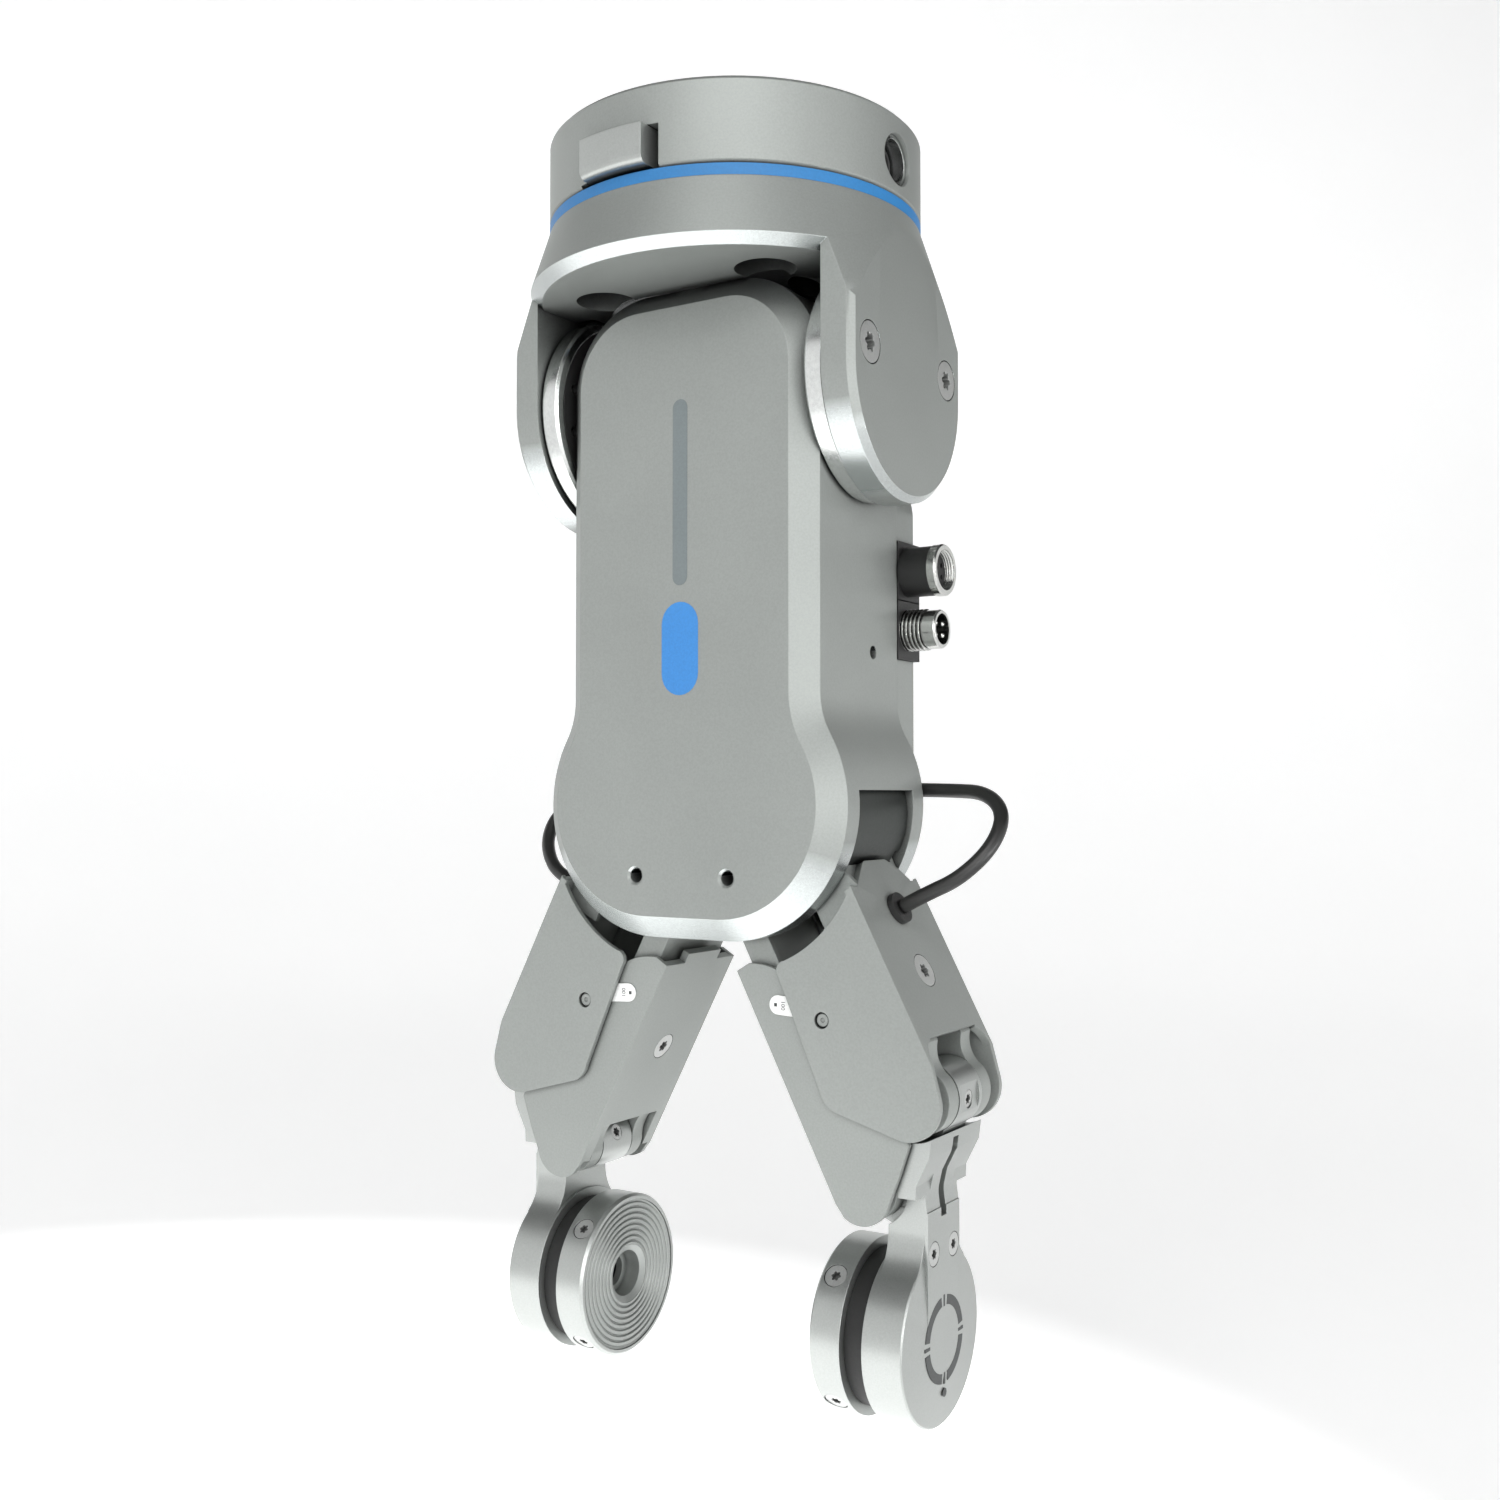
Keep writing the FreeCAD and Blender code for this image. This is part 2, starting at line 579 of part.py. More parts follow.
for dy, dz in CONTACTS:
    insert = insert.cut(rod_x(0.5, SOCKET_Y + dy, SOCKET_Z + dz, 29.0, 40))
socket_insert = insert

plug = rod_x(3.98, SOCKET_Y, PLUG_Z, 22.0, 27.35)
thread_profile = [(27.32, 0), (27.32, 3.2)]
for k in range(5):
    a = 27.5 + 0.85 * k
    thread_profile.append((a, 3.45))
    thread_profile.append((a + 0.2, 4.0))
    thread_profile.append((a + 0.45, 4.0))
    thread_profile.append((a + 0.65, 3.45))
thread_profile += [(31.9, 3.45), (31.9, 3.75), (34.2, 3.75), (34.5, 3.5), (34.5, 0)]
plug = plug.fuse(spin(thread_profile, (0, SOCKET_Y, PLUG_Z), True)).removeSplitter()
plug = plug.cut(rod_x(2.95, SOCKET_Y, PLUG_Z, 25.0, 40))
save("plug_body", [plug])
plug_insert = rod_x(2.9, SOCKET_Y, PLUG_Z, 25.1, 29.2)
for dy, dz in CONTACTS:
    plug_insert = plug_insert.cut(rod_x(0.5, SOCKET_Y + dy, PLUG_Z + dz, 26.0, 40))
save("connector_inserts", [socket_insert, plug_insert])
pins = []
for dy, dz in CONTACTS:
    pin = rod_x(0.48, SOCKET_Y + dy, PLUG_Z + dz, 26.05, 33.6)
    tip = Part.makeSphere(0.48, Vector(33.6, SOCKET_Y + dy, PLUG_Z + dz))
    pins.append(pin.fuse(tip).removeSplitter())
save("plug_pins", pins)

# ---------------------------------------------------------------- drive train
motor = rod_z(11.0, 0, 0, -78.0, -38.0)
motor = motor.fuse(rod_z(3.5, 0, 0, -38.1, -36.2)).removeSplitter()
save("motor", [motor])
gearhead = rod_z(11.0, 0, 0, -101.5, -78.02)
gearhead = gearhead.fuse(rod_z(4.5, 0, 0, -103.0, -101.4)).removeSplitter()
gearhead = gearhead.fuse(block(-18.0, 18.0, -12.2, 12.0, -101.4, -98.4)).removeSplitter()
gearhead = gearhead.cut(rod_z(2.05, 0, 0, -104, -94.0))
save("gearhead", [gearhead])

worm_profile = [(-138.0, 0), (-138.0, 1.8), (-134.2, 1.8), (-134.2, 3.0)]
for k in range(7):
    z = -133.4 + 2.5 * k
    worm_profile.append((z, 3.0))
    worm_profile.append((z + 0.6, WORM_R))
    worm_profile.append((z + 1.2, WORM_R))
    worm_profile.append((z + 1.8, 3.0))
worm_profile += [(-109.0, 3.0), (-109.0, 2.0), (-94.4, 2.0), (-94.4, 0)]
worm = spin(worm_profile, (0, 0, 0), False)
save("worm_shaft", [worm])

upper_race = rod_z(5.55, 0, 0, -106.5, -103.6).cut(rod_z(2.05, 0, 0, -108, -100))
lower_race = rod_z(3.5, 0, 0, -138.15, -134.4).cut(rod_z(1.85, 0, 0, -140, -130))
save("worm_bearings", [upper_race, lower_race])

board = block(-21.5, 21.5, 18.4, 20.0, -101.0, -72.0)
board = board.cut(rod_y(3.2, -21.5, -70.0, 10, 30)).cut(rod_y(3.2, 21.5, -100.5, 10, 30))
board = board.cut(rod_y(3.2, -21.5, -100.5, 10, 30))
board = board.cut(block(20.0, 30, 10, 30, -98, -73))
chips = [block(-8, 6, 20.02, 22.4, -92, -80), block(-16, -11, 20.02, 22.0, -90, -82),
         block(9, 15, 20.02, 23.4, -90, -78), block(-14, -4, 20.02, 23.0, -78, -74)]
save("circuit_board", [board] + chips)

up_pins = []
for side in (-1, 1):
    up_pins.append(rod_y(PIN_UP_R, side * PIVOT_UP_OUT[0], PIVOT_UP_OUT[1], -14.95, 14.65))
    up_pins.append(rod_y(PIN_UP_IN_R, side * PIVOT_UP_IN[0], PIVOT_UP_IN[1], -13.95, 14.65))
save("upper_pins", up_pins)

# ---------------------------------------------------------------- worm wheels
def wheel():
    """A worm wheel about its own pivot, for a link that hangs straight down."""
    body = rod_y(DRUM_R, 0, 0, -DRUM_FACE, DRUM_FACE)
    arm_room = [(-2.3, -11.8), (-2.3, -16.0), (8.2, -16.0), (7.0, -2.6)]
    for y0, y1 in ((-12.0, -DRUM_HALF), (DRUM_HALF, 12.0)):
        body = body.cut(rod_y(7.6, 0, 0, y0, y1))
        body = body.cut(slab((-7.0, -2.6), arm_room, y0, y1))
    low = rod_y(DRUM_R + 1, 0, 0, -DRUM_FACE - 1, DRUM_FACE + 1)
    low = low.cut(rod_y(12.2, 0, 0, -DRUM_FACE - 2, DRUM_FACE + 2))
    sector = []
    for deg in range(89, 210, 10):
        a = math.radians(min(deg, 205))
        sector.append((30 * math.cos(a), 30 * math.sin(a)))
    low = low.common(slab((0.0, 0.0), sector, -DRUM_FACE - 1, DRUM_FACE + 1))
    body = body.cut(low)
    teeth = 33
    band = []
    for k in range(teeth):
        for part, r in ((0.0, 12.3), (0.18, WHEEL_TIP_R), (0.5, WHEEL_TIP_R), (0.68, 12.3)):
            a = 2 * math.pi * (k + part) / teeth
            band.append((r * math.cos(a), r * math.sin(a)))
    ring = slab(band[0], band[1:], -2.6, 2.6)
    body = body.fuse(ring).removeSplitter()
    body = body.cut(rod_y(PIN_UP_R + RUN_GAP, 0, 0, -20, 20))
    for deg in (-100, -60, -20, 20, 60):
        a = math.radians(deg)
        body = body.cut(rod_y(2.4, 8.6 * math.cos(a), 8.6 * math.sin(a), -20, 20))
    return body


save_pair("worm_wheel", [turned(wheel(), PIVOT_UP_OUT, REST_ANGLE)])


# ---------------------------------------------------------------- outer links
LINK_SCREW_S = 34.8
GROMMET_S = 23.0


def outer_link():
    """The link about its upper pivot, hanging straight down, outwards along +X."""
    cheek_start = (7.4, -17.45)
    cheek = [(7.4, -50.6), (6.155, -56.34), (0.0, -61.3, -4.29, -59.61), (-13.5, -51.05),
             (-14.45, -49.6, -14.65, -46.6), (-13.15, -25.6), (-12.75, -24.0, -10.8, -23.52),
             (-2.8, -22.75, 7.4, -17.45)]
    parts = both_sides(cheek_start, cheek, OUT_CHEEK_Y)
    web = block(OUT_WEB_U[0], OUT_WEB_U[1], -OUT_CHEEK_Y[1], OUT_CHEEK_Y[1], -50.6, -17.8)
    window = block(0, 12, -9.3, 9.3, -60, -46.4)
    for side in (-1, 1):
        window = window.fuse(rod(3.6, (0, side * 8.3, -50.2), (1, 0, 0), 12))
    web = web.cut(window)
    shelf = slab((0.8, -14.4), [(3.5, -13.95), (5.95, -13.1), (5.95, -18.4), (0.8, -18.4)], -10.2, 10.2)
    tab_side = [(-4.9, -13.5), (-3.9, -13.1), (3.9, -13.1), (4.9, -13.5), (10.2, -17.6), (10.2, -18.4),
                (-10.2, -18.4)]
    tab = prism_yz((-10.2, -17.6), tab_side, OUT_WEB_U[0], OUT_WEB_U[1])
    parts += [web, shelf, tab]
    arm_start = (7.4, -22.5)
    arm = [(7.4, -17.5), (5.9, -14.0), (6.6, -3.2), (0.0, 7.3, -6.6, -3.2), (-2.1, -12.0), (-2.1, -22.5)]
    parts += both_sides(arm_start, arm, ARM_Y)
    lug_start = (6.5, -38.0)
    lug = [(6.5, -47.0), (5.2, -49.6, 5.81, -53.5), (0.0, -61.0, -5.81, -53.5), (-2.4, -48.0),
           (2.0, -42.0), (4.8, -38.0)]
    parts += both_sides(lug_start, lug, (4.85, 8.6))
    body = join(parts)
    body = body.cut(rod_y(PIN_UP_R + RUN_GAP, 0, 0, -11, 11))
    body = body.cut(rod_y(PIN_LOW_R + RUN_GAP, 0, -LINK_LENGTH, -9, 9))
    body = body.cut(flat_hole((OUT_WEB_U[1] - 0.03, 0, -LINK_SCREW_S), (1, 0, 0), 3.0, 1.2, 1.0, 1.4, 0.12))
    body = body.cut(rod_x(2.2, 0, -GROMMET_S, 4, 9))
    body = body.cut(rod_y(1.45, -8.6, -35.9, -14, -11))
    return body


save_pair("outer_link", [turned(outer_link(), PIVOT_UP_OUT, REST_ANGLE)])

screw = flat_screw((OUT_WEB_U[1] - 0.03, 0, -LINK_SCREW_S), (1, 0, 0), 3.0, 1.2, 1.0, 4.0)
save_pair("outer_link_screw", [turned(screw, PIVOT_UP_OUT, REST_ANGLE)])

grommet = rod_x(2.9, 0, -GROMMET_S, OUT_WEB_U[1] + 0.02, OUT_WEB_U[1] + 1.2)
grommet = grommet.fuse(rod_x(2.15, 0, -GROMMET_S, OUT_WEB_U[0] - 1.2, OUT_WEB_U[1] + 0.1))
grommet = grommet.fuse(rod_x(2.7, 0, -GROMMET_S, OUT_WEB_U[0] - 1.4, OUT_WEB_U[0] - 0.02)).removeSplitter()
save_pair("grommet", [turned(grommet, PIVOT_UP_OUT, REST_ANGLE)])


# ---------------------------------------------------------------- inner links
IN_SCREW_S = 30.0


def inner_link():
    """The inner link about its upper pivot, hanging straight down."""
    cheek_start = (-5.4, -10.6)
    cheek = [(-2.4, -10.4), (0.6, -12.2, 4.1, -16.2), (8.5, -25.0), (12.4, -48.0), (12.6, -51.0),
             (8.15, -55.2), (4.2, -58.6), (0.0, -60.5, -4.9, -57.5), (-5.4, -54.8)]
    parts = both_sides(cheek_start, cheek, IN_CHEEK_Y)
    web = block(IN_WEB_U[0], IN_WEB_U[1], -IN_CHEEK_Y[1], IN_CHEEK_Y[1], -54.8, -10.6)
    parts.append(web.cut(block(-8, 0, -8.7, 8.7, -60, -46.8)))
    parts.append(block(IN_WEB_U[0], IN_WEB_U[1], -5.5, 5.5, -11.0, -8.6))
    bridge = [(-1.0, -12.0), (2.6, -15.0), (2.6, -19.0), (-5.0, -19.0)]
    parts += both_sides((-5.0, -12.0), bridge, (ARM_Y[0] + 0.05, 11.2))
    arm_start = (2.6, -16.5)
    arm = [(2.6, -3.0), (3.0, -2.6, 4.0, 0.0), (0.0, 4.0, -4.0, 0.0), (-3.0, -2.6, -2.6, -3.0),
           (-2.6, -16.5)]
    parts += both_sides(arm_start, arm, (ARM_Y[0] + 0.05, ARM_Y[1]))
    parts.append(block(-2.6, 2.0, -9.1, 9.1, -16.6, -4.2))
    lug_start = (-4.6, -38.0)
    lug = [(-4.6, -47.0), (-4.1, -49.8, -5.0, -53.2), (-3.4, -58.9, 0.0, -60.25),
           (4.2, -58.1, 5.0, -53.2), (1.2, -48.6), (-1.5, -43.0), (-3.6, -38.0)]
    parts += both_sides(lug_start, lug, (4.85, 8.2))
    body = join(parts)
    body = body.cut(rod_y(PIN_UP_IN_R + RUN_GAP, 0, 0, -11, 11))
    body = body.cut(rod_y(PIN_LOW_IN_R + RUN_GAP + 0.03, 0, -LINK_LENGTH, -9, 9))
    body = body.cut(flat_hole((IN_WEB_U[0] + 0.03, 0, -IN_SCREW_S), (-1, 0, 0), 2.6, 1.2, 1.0, 1.4, 0.12))
    return body


save_pair("inner_link", [turned(inner_link(), PIVOT_UP_IN, REST_ANGLE)])
screw = flat_screw((IN_WEB_U[0] + 0.03, 0, -IN_SCREW_S), (-1, 0, 0), 2.6, 1.2, 1.0, 4.0)
save_pair("inner_link_screw", [turned(screw, PIVOT_UP_IN, REST_ANGLE)])
LABEL_R = 1.72
LABEL_X = 16.55
LABEL_Z = -160.5
LABEL_LONG = 5.2
label_side = [(LABEL_X + LABEL_LONG, LABEL_Z - 0.3 + LABEL_R), (LABEL_X + LABEL_LONG, LABEL_Z - 0.3 - LABEL_R),
              (LABEL_X, LABEL_Z - LABEL_R), (LABEL_X - LABEL_R, LABEL_Z, LABEL_X, LABEL_Z + LABEL_R)]
label = slab((LABEL_X, LABEL_Z + LABEL_R), label_side, -IN_CHEEK_Y[1] - 0.17, -IN_CHEEK_Y[1] - 0.02)
save_pair("scale_label", [label])


# ---------------------------------------------------------------- fingertips
LINK_SWEEP_R = 6.45
WING_BOTTOM_Z = -191.9
FLANK_R = 9.0


def tip_carrier():
    xo, zo = PIVOT_LOW_OUT
    xi, zi = PIVOT_LOW_IN
    strap_side = [(45.5, -184.7), (43.0, -189.6), (42.9, -192.4), (HOLDER_FACE_X, -196.5),
                  (HOLDER_FACE_X, -204.0), (NECK_X, -204.0), (NECK_X, -196.0), (33.0, -191.0), (38.0, -181.0)]
    strap = slab((46.0, -181.0), strap_side, -10.3, 10.3)
    strap = strap.cut(rod_y(LINK_SWEEP_R, xi, zi, -12, 12))
    strap = strap.cut(rod_y(6.85, xo, zo, -12, 12))
    for y0, y1 in ((-12, -NECK_HALF), (NECK_HALF, 12)):
        strap = strap.cut(block(30, 50, y0, y1, -206, WING_BOTTOM_Z))
    core_line = [(xo + 4.2, zo - 1.0), (xo + 2.0, zo - 9.0), (xi + 9.0, zi - 3.0), (HOLDER_FACE_X, -197.0),
                 (HOLDER_FACE_X, -203.0), (NECK_X, -203.0), (NECK_X, -198.0), (xi - 3.0, zi - 3.6),
                 (xi - 4.0, zi + 2.0), (xo - 5.4, zo - 2.5)]
    core = slab((xo, zo), core_line, -4.6, 4.6)
    knuckle_out = rod_y(6.1, xo, zo, -4.6, 4.6)
    knuckle_in = rod_y(5.3, xi, zi, -4.6, 4.6)
    back = CORE_BACK_X + 0.02
    holder_profile = [(back, 0), (back, TIP_R), (HOLDER_FACE_X - 0.9, TIP_R), (HOLDER_FACE_X - 0.65, TIP_R - 0.25),
                      (HOLDER_FACE_X, 6.5), (HOLDER_FACE_X, 0)]
    holder = spin(holder_profile, (0, 0, TIP_Z), True)
    neck = block(NECK_X, HOLDER_FACE_X, -NECK_HALF, NECK_HALF, TIP_Z, WING_BOTTOM_Z - 3.0)
    body = join([strap, core, knuckle_out, knuckle_in, neck, holder])
    # concave flanks between the neck and the round holder
    flank_z = TIP_Z + math.sqrt((TIP_R + FLANK_R) ** 2 - (NECK_HALF + FLANK_R) ** 2)
    for side in (-1, 1):
        flank_y = side * (NECK_HALF + FLANK_R)
        fill_side = [(flank_y, flank_z), (0, TIP_Z)]
        fill = prism_yz((side * (NECK_HALF - 0.5), flank_z), fill_side, NECK_X, HOLDER_FACE_X - 0.7)
        fill = fill.cut(rod_x(FLANK_R, flank_y, flank_z, 30, 50))
        body = body.fuse(fill)
    body = body.removeSplitter()
    for y0, y1 in ((-12.0, -4.7), (4.7, 12.0)):
        body = body.cut(rod_y(LINK_SWEEP_R, xi, zi, y0, y1))
    slit = block(41.2, 50, -1.1, 1.1, -196.5, -182.5)
    body = body.cut(slit).cut(rod(1.25, (40.5, 0, -184.6), (1, 0, 0), 9))
    body = body.cut(rod_y(PIN_LOW_R, xo, zo, -6, 6)).cut(rod_y(PIN_LOW_IN_R, xi, zi, -6, 6))
    body = body.cut(rod(1.6, (xo, 0, zo), (0.996, 0, -0.08), 9))
    body = body.cut(rod(1.6, (xi, 0, zi), (-0.94, 0, 0.33), 9))
    body = body.cut(block(xo + 5.6, xo + 9, -3.6, 3.6, zo - 5, zo + 3.6))
    for sy in (-1, 1):
        body = body.cut(flat_hole((HOLDER_FACE_X - 0.03, sy * 3.92, -202.4), (1, 0, 0), 2.05, 1.1, 1.0, 5.0, 0.12))
    body = body.cut(rod_x(10.2, 0, TIP_Z, 33, 39.0))
    return body


save_pair("tip_carrier", [tip_carrier()])

neck_screws = []
for sy in (-1, 1):
    at = (HOLDER_FACE_X - 0.03, sy * 3.92, -202.4)
    neck_screws.append(flat_screw(at, (1, 0, 0), 2.05, 1.1, 1.0, 5.0))

xo, zo = PIVOT_LOW_OUT
xi, zi = PIVOT_LOW_IN
save_pair("lower_pins", [rod_y(PIN_LOW_R, xo, zo, -8.5, 8.5), rod_y(PIN_LOW_IN_R, xi, zi, -8.1, 8.1)])


def set_screw(x, z, direction, far):
    axis = Vector(direction[0], 0, direction[1])
    axis.normalize()
    base = Vector(x, 0, z) + axis * 2.3
    body = Part.makeCylinder(1.54, far - 2.3, base, axis)
    top = Vector(x, 0, z) + axis * far
    return body.cut(drive_cut((top.x, top.y, top.z), (axis.x, axis.y, axis.z), 0.95, 1.2))


set_screws = [set_screw(xo, zo, (0.996, -0.08), 5.5), set_screw(xi, zi, (-0.94, 0.33), 5.2)]

core = rod_x(CORE_R, 0, TIP_Z, BEZEL_BACK_X + 0.02, CORE_BACK_X)
core = core.fuse(rod_x(10.1, 0, TIP_Z, CORE_BACK_X - 0.1, 38.9)).removeSplitter()
core = core.cut(rod_x(4.0, 0, TIP_Z, 20, 36.5))
save_pair("sensor_core", [core])

bezel_profile = [(PAD_FACE_X + 0.5, TIP_R), (PAD_FACE_X, TIP_R - 0.5), (PAD_FACE_X, 14.35),
                 (28.0, 14.35), (28.0, 5.6), (BEZEL_BACK_X, 5.6), (BEZEL_BACK_X, TIP_R)]
bezel = spin(bezel_profile, (0, 0, TIP_Z), True)
bezel_screws = []
screw_holes = []
for k in range(4):
    a = math.radians(45 + 90 * k)
    n = (0, math.cos(a), math.sin(a))
    at = (27.8, (TIP_R - 0.2) * n[1], TIP_Z + (TIP_R - 0.2) * n[2])
    bezel_screws.append(flat_screw(at, n, 2.05, 1.2, 0.8, 3.4))
    screw_holes.append(flat_hole(at, n, 2.05, 1.2, 0.8, 3.4, 0.12))
    bezel = bezel.cut(screw_holes[-1])
save_pair("bezel_ring", [bezel])
save_pair("tip_screws", set_screws + neck_screws + bezel_screws)

pad_profile = [(PAD_FACE_X + 0.1, 5.6), (PAD_FACE_X + 0.1, 5.9)]
GROOVES = 8
for k in range(GROOVES):
    r = 6.3 + (13.9 - 6.3) * k / (GROOVES - 1)
    pad_profile.append((PAD_FACE_X + 0.1, r - 0.28))
    pad_profile.append((PAD_FACE_X + 0.4, r - 0.06))
    pad_profile.append((PAD_FACE_X + 0.4, r + 0.06))
    if k < GROOVES - 1:
        pad_profile.append((PAD_FACE_X + 0.1, r + 0.28))
pad_profile += [(PAD_FACE_X + 0.25, 14.28), (27.98, 14.28), (27.98, 5.6)]
pad = spin(pad_profile, (0, 0, TIP_Z), True)
for hole in screw_holes:
    pad = pad.cut(hole)
save_pair("grip_pad", [pad])

eyelet_profile = [(PAD_FACE_X + 0.15, 5.55), (PAD_FACE_X + 0.9, 4.4), (29.0, 4.4), (29.0, 3.1),
                  (30.48, 3.1), (30.48, 5.55)]
eyelet = spin(eyelet_profile, (0, 0, TIP_Z), True)
save_pair("eyelet", [eyelet])
lens = rod_x(3.9, 0, TIP_Z, 31.4, 32.6)
save_pair("window_lens", [lens])

# ---------------------------------------------------------------- sensor cables
cos_a = math.cos(math.radians(REST_ANGLE))
sin_a = math.sin(math.radians(REST_ANGLE))
GLAND_FACE = 28.6
grommet_face = OUT_WEB_U[1] + 1.2
end_x = PIVOT_UP_OUT[0] + GROMMET_S * sin_a + grommet_face * cos_a
end_z = PIVOT_UP_OUT[1] - GROMMET_S * cos_a + grommet_face * sin_a
LEAD = 5.0
ROUTE = [(GLAND_FACE, GLAND_Y, GLAND_Z), (36.5, 18.0, -122.2), (45.5, 14.6, -122.6), (50.9, 10.0, -126.4),
         (50.7, 5.2, -132.2), (46.0, 1.4, -137.8),
         (end_x + LEAD * cos_a, 0.0, end_z + LEAD * sin_a), (end_x, 0.0, end_z)]


def bent_tube(route, radius):
    """A round tube along straight runs joined by tangent arcs."""
    points = [Vector(*p) for p in route]
    edges = []
    radii = []
    here = points[0]
    for before, corner, after in zip(points, points[1:], points[2:]):
        into = corner - before
        out = after - corner
        cut = 0.45 * min(into.Length, out.Length)
        into.normalize()
        out.normalize()
        turn = into.getAngle(out)
        start = corner - into * cut
        end = corner + out * cut
        radii.append(round(cut / math.tan(turn / 2), 1))
        towards = out - into
        towards.normalize()
        bow = radii[-1] * (1 / math.cos(turn / 2) - 1)
        if here.distanceToPoint(start) > 1e-6:
            edges.append(Part.LineSegment(here, start).toShape())
        edges.append(Part.Arc(start, corner + towards * bow, end).toShape())
        here = end
    edges.append(Part.LineSegment(here, points[-1]).toShape())
    path = Part.Wire(edges)
    direction = points[1] - points[0]
    section = Part.Wire([Part.makeCircle(radius, points[0], direction)])
    tube = path.makePipeShell([section], True, True)
    expected = math.pi * radius * radius * path.Length
    ratio = tube.Volume / expected
    print("cable radii", radii, "length", round(path.Length, 1), "volume ratio", round(ratio, 4))
    return tube


cable = bent_tube(ROUTE, CABLE_R)
save_pair("sensor_cable", [cable])
gland = rod_x(2.15, GLAND_Y, GLAND_Z, 23.5, 27.6).fuse(rod_x(2.9, GLAND_Y, GLAND_Z, COVER_X + 0.05, GLAND_FACE))
gland = gland.removeSplitter()
save("cable_glands", [gland, mirrored(gland)])
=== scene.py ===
import math

import bmesh
import bpy
from mathutils import Matrix, Vector
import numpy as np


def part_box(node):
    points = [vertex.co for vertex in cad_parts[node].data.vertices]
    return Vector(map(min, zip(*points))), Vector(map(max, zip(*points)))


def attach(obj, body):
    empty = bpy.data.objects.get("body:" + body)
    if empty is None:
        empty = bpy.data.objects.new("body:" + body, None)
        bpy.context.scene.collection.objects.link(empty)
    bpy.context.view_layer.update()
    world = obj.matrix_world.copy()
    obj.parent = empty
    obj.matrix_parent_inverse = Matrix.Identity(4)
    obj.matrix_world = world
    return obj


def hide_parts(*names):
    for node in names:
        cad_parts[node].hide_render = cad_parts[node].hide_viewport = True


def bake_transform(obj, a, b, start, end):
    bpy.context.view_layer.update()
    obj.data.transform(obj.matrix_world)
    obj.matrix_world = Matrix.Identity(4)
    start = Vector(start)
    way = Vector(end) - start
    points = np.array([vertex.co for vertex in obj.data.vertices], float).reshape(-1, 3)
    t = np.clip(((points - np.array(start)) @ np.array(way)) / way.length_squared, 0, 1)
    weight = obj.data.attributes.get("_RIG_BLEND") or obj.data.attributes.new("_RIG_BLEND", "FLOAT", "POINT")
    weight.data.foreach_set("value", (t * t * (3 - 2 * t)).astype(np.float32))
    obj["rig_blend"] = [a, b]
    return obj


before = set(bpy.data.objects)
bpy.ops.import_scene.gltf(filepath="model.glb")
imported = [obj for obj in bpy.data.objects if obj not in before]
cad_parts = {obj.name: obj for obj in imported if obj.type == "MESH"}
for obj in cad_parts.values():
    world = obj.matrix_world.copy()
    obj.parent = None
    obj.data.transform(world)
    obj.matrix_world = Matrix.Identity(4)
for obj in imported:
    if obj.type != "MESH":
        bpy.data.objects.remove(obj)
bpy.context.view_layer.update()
scene = bpy.context.scene
MM = 0.001


def mm(*values):
    return Vector(values) * MM


# ---------------------------------------------------------------- camera
cam_data = bpy.data.cameras.new("camera")
cam_data.sensor_width = 36.0
cam_data.lens = 37.84
cam_data.clip_start = 0.01
cam_data.clip_end = 50
camera = bpy.data.objects.new("camera", cam_data)
scene.collection.objects.link(camera)
camera.location = mm(162.85, -253.36, -122.95)
camera.rotation_mode = "QUATERNION"
camera.rotation_quaternion = Vector((-0.53269, 0.84584, 0.02810)).to_track_quat("-Z", "Y")
scene.camera = camera


# ---------------------------------------------------------------- node helpers
def new_material(name):
    mat = bpy.data.materials.new(name)
    mat.use_nodes = True
    tree = mat.node_tree
    tree.nodes.clear()
    out = tree.nodes.new("ShaderNodeOutputMaterial")
    shader = tree.nodes.new("ShaderNodeBsdfPrincipled")
    tree.links.new(shader.outputs["BSDF"], out.inputs["Surface"])
    return mat, tree, shader


def node(tree, kind, **values):
    made = tree.nodes.new("ShaderNode" + kind)
    for key, value in values.items():
        if key in made.inputs:
            made.inputs[key].default_value = value
        else:
            setattr(made, key, value)
    return made


def noise(tree, scale, detail=3.0, rough=0.5, stretch=(1, 1, 1)):
    """Noise in the piece's own metres, so its grain has a real size."""
    coords = node(tree, "TexCoord")
    place = node(tree, "Mapping")
    place.inputs["Scale"].default_value = stretch
    tree.links.new(coords.outputs["Object"], place.inputs["Vector"])
    tex = node(tree, "TexNoise", Scale=scale, Detail=detail, Roughness=rough)
    tree.links.new(place.outputs["Vector"], tex.inputs["Vector"])
    return tex.outputs["Fac"]


def spread(tree, source, low, high, from_low=0.3, from_high=0.7):
    span = node(tree, "MapRange")
    span.inputs["From Min"].default_value = from_low
    span.inputs["From Max"].default_value = from_high
    span.inputs["To Min"].default_value = low
    span.inputs["To Max"].default_value = high
    tree.links.new(source, span.inputs["Value"])
    return span.outputs["Result"]


def times(tree, colour, value):
    """A colour multiplied by a grey value."""
    mix = node(tree, "Mix", data_type="RGBA", blend_type="MULTIPLY")
    mix.inputs["Factor"].default_value = 1.0
    tree.links.new(colour, mix.inputs["A"])
    tree.links.new(value, mix.inputs["B"])
    return mix.outputs["Result"]


def mixed(tree, factor, one, two, mode="MIX"):
    mix = node(tree, "Mix", data_type="RGBA", blend_type=mode)
    tree.links.new(factor, mix.inputs["Factor"])
    for socket, value in ((mix.inputs["A"], one), (mix.inputs["B"], two)):
        if isinstance(value, tuple):
            socket.default_value = (*value, 1)
        else:
            tree.links.new(value, socket)
    return mix.outputs["Result"]


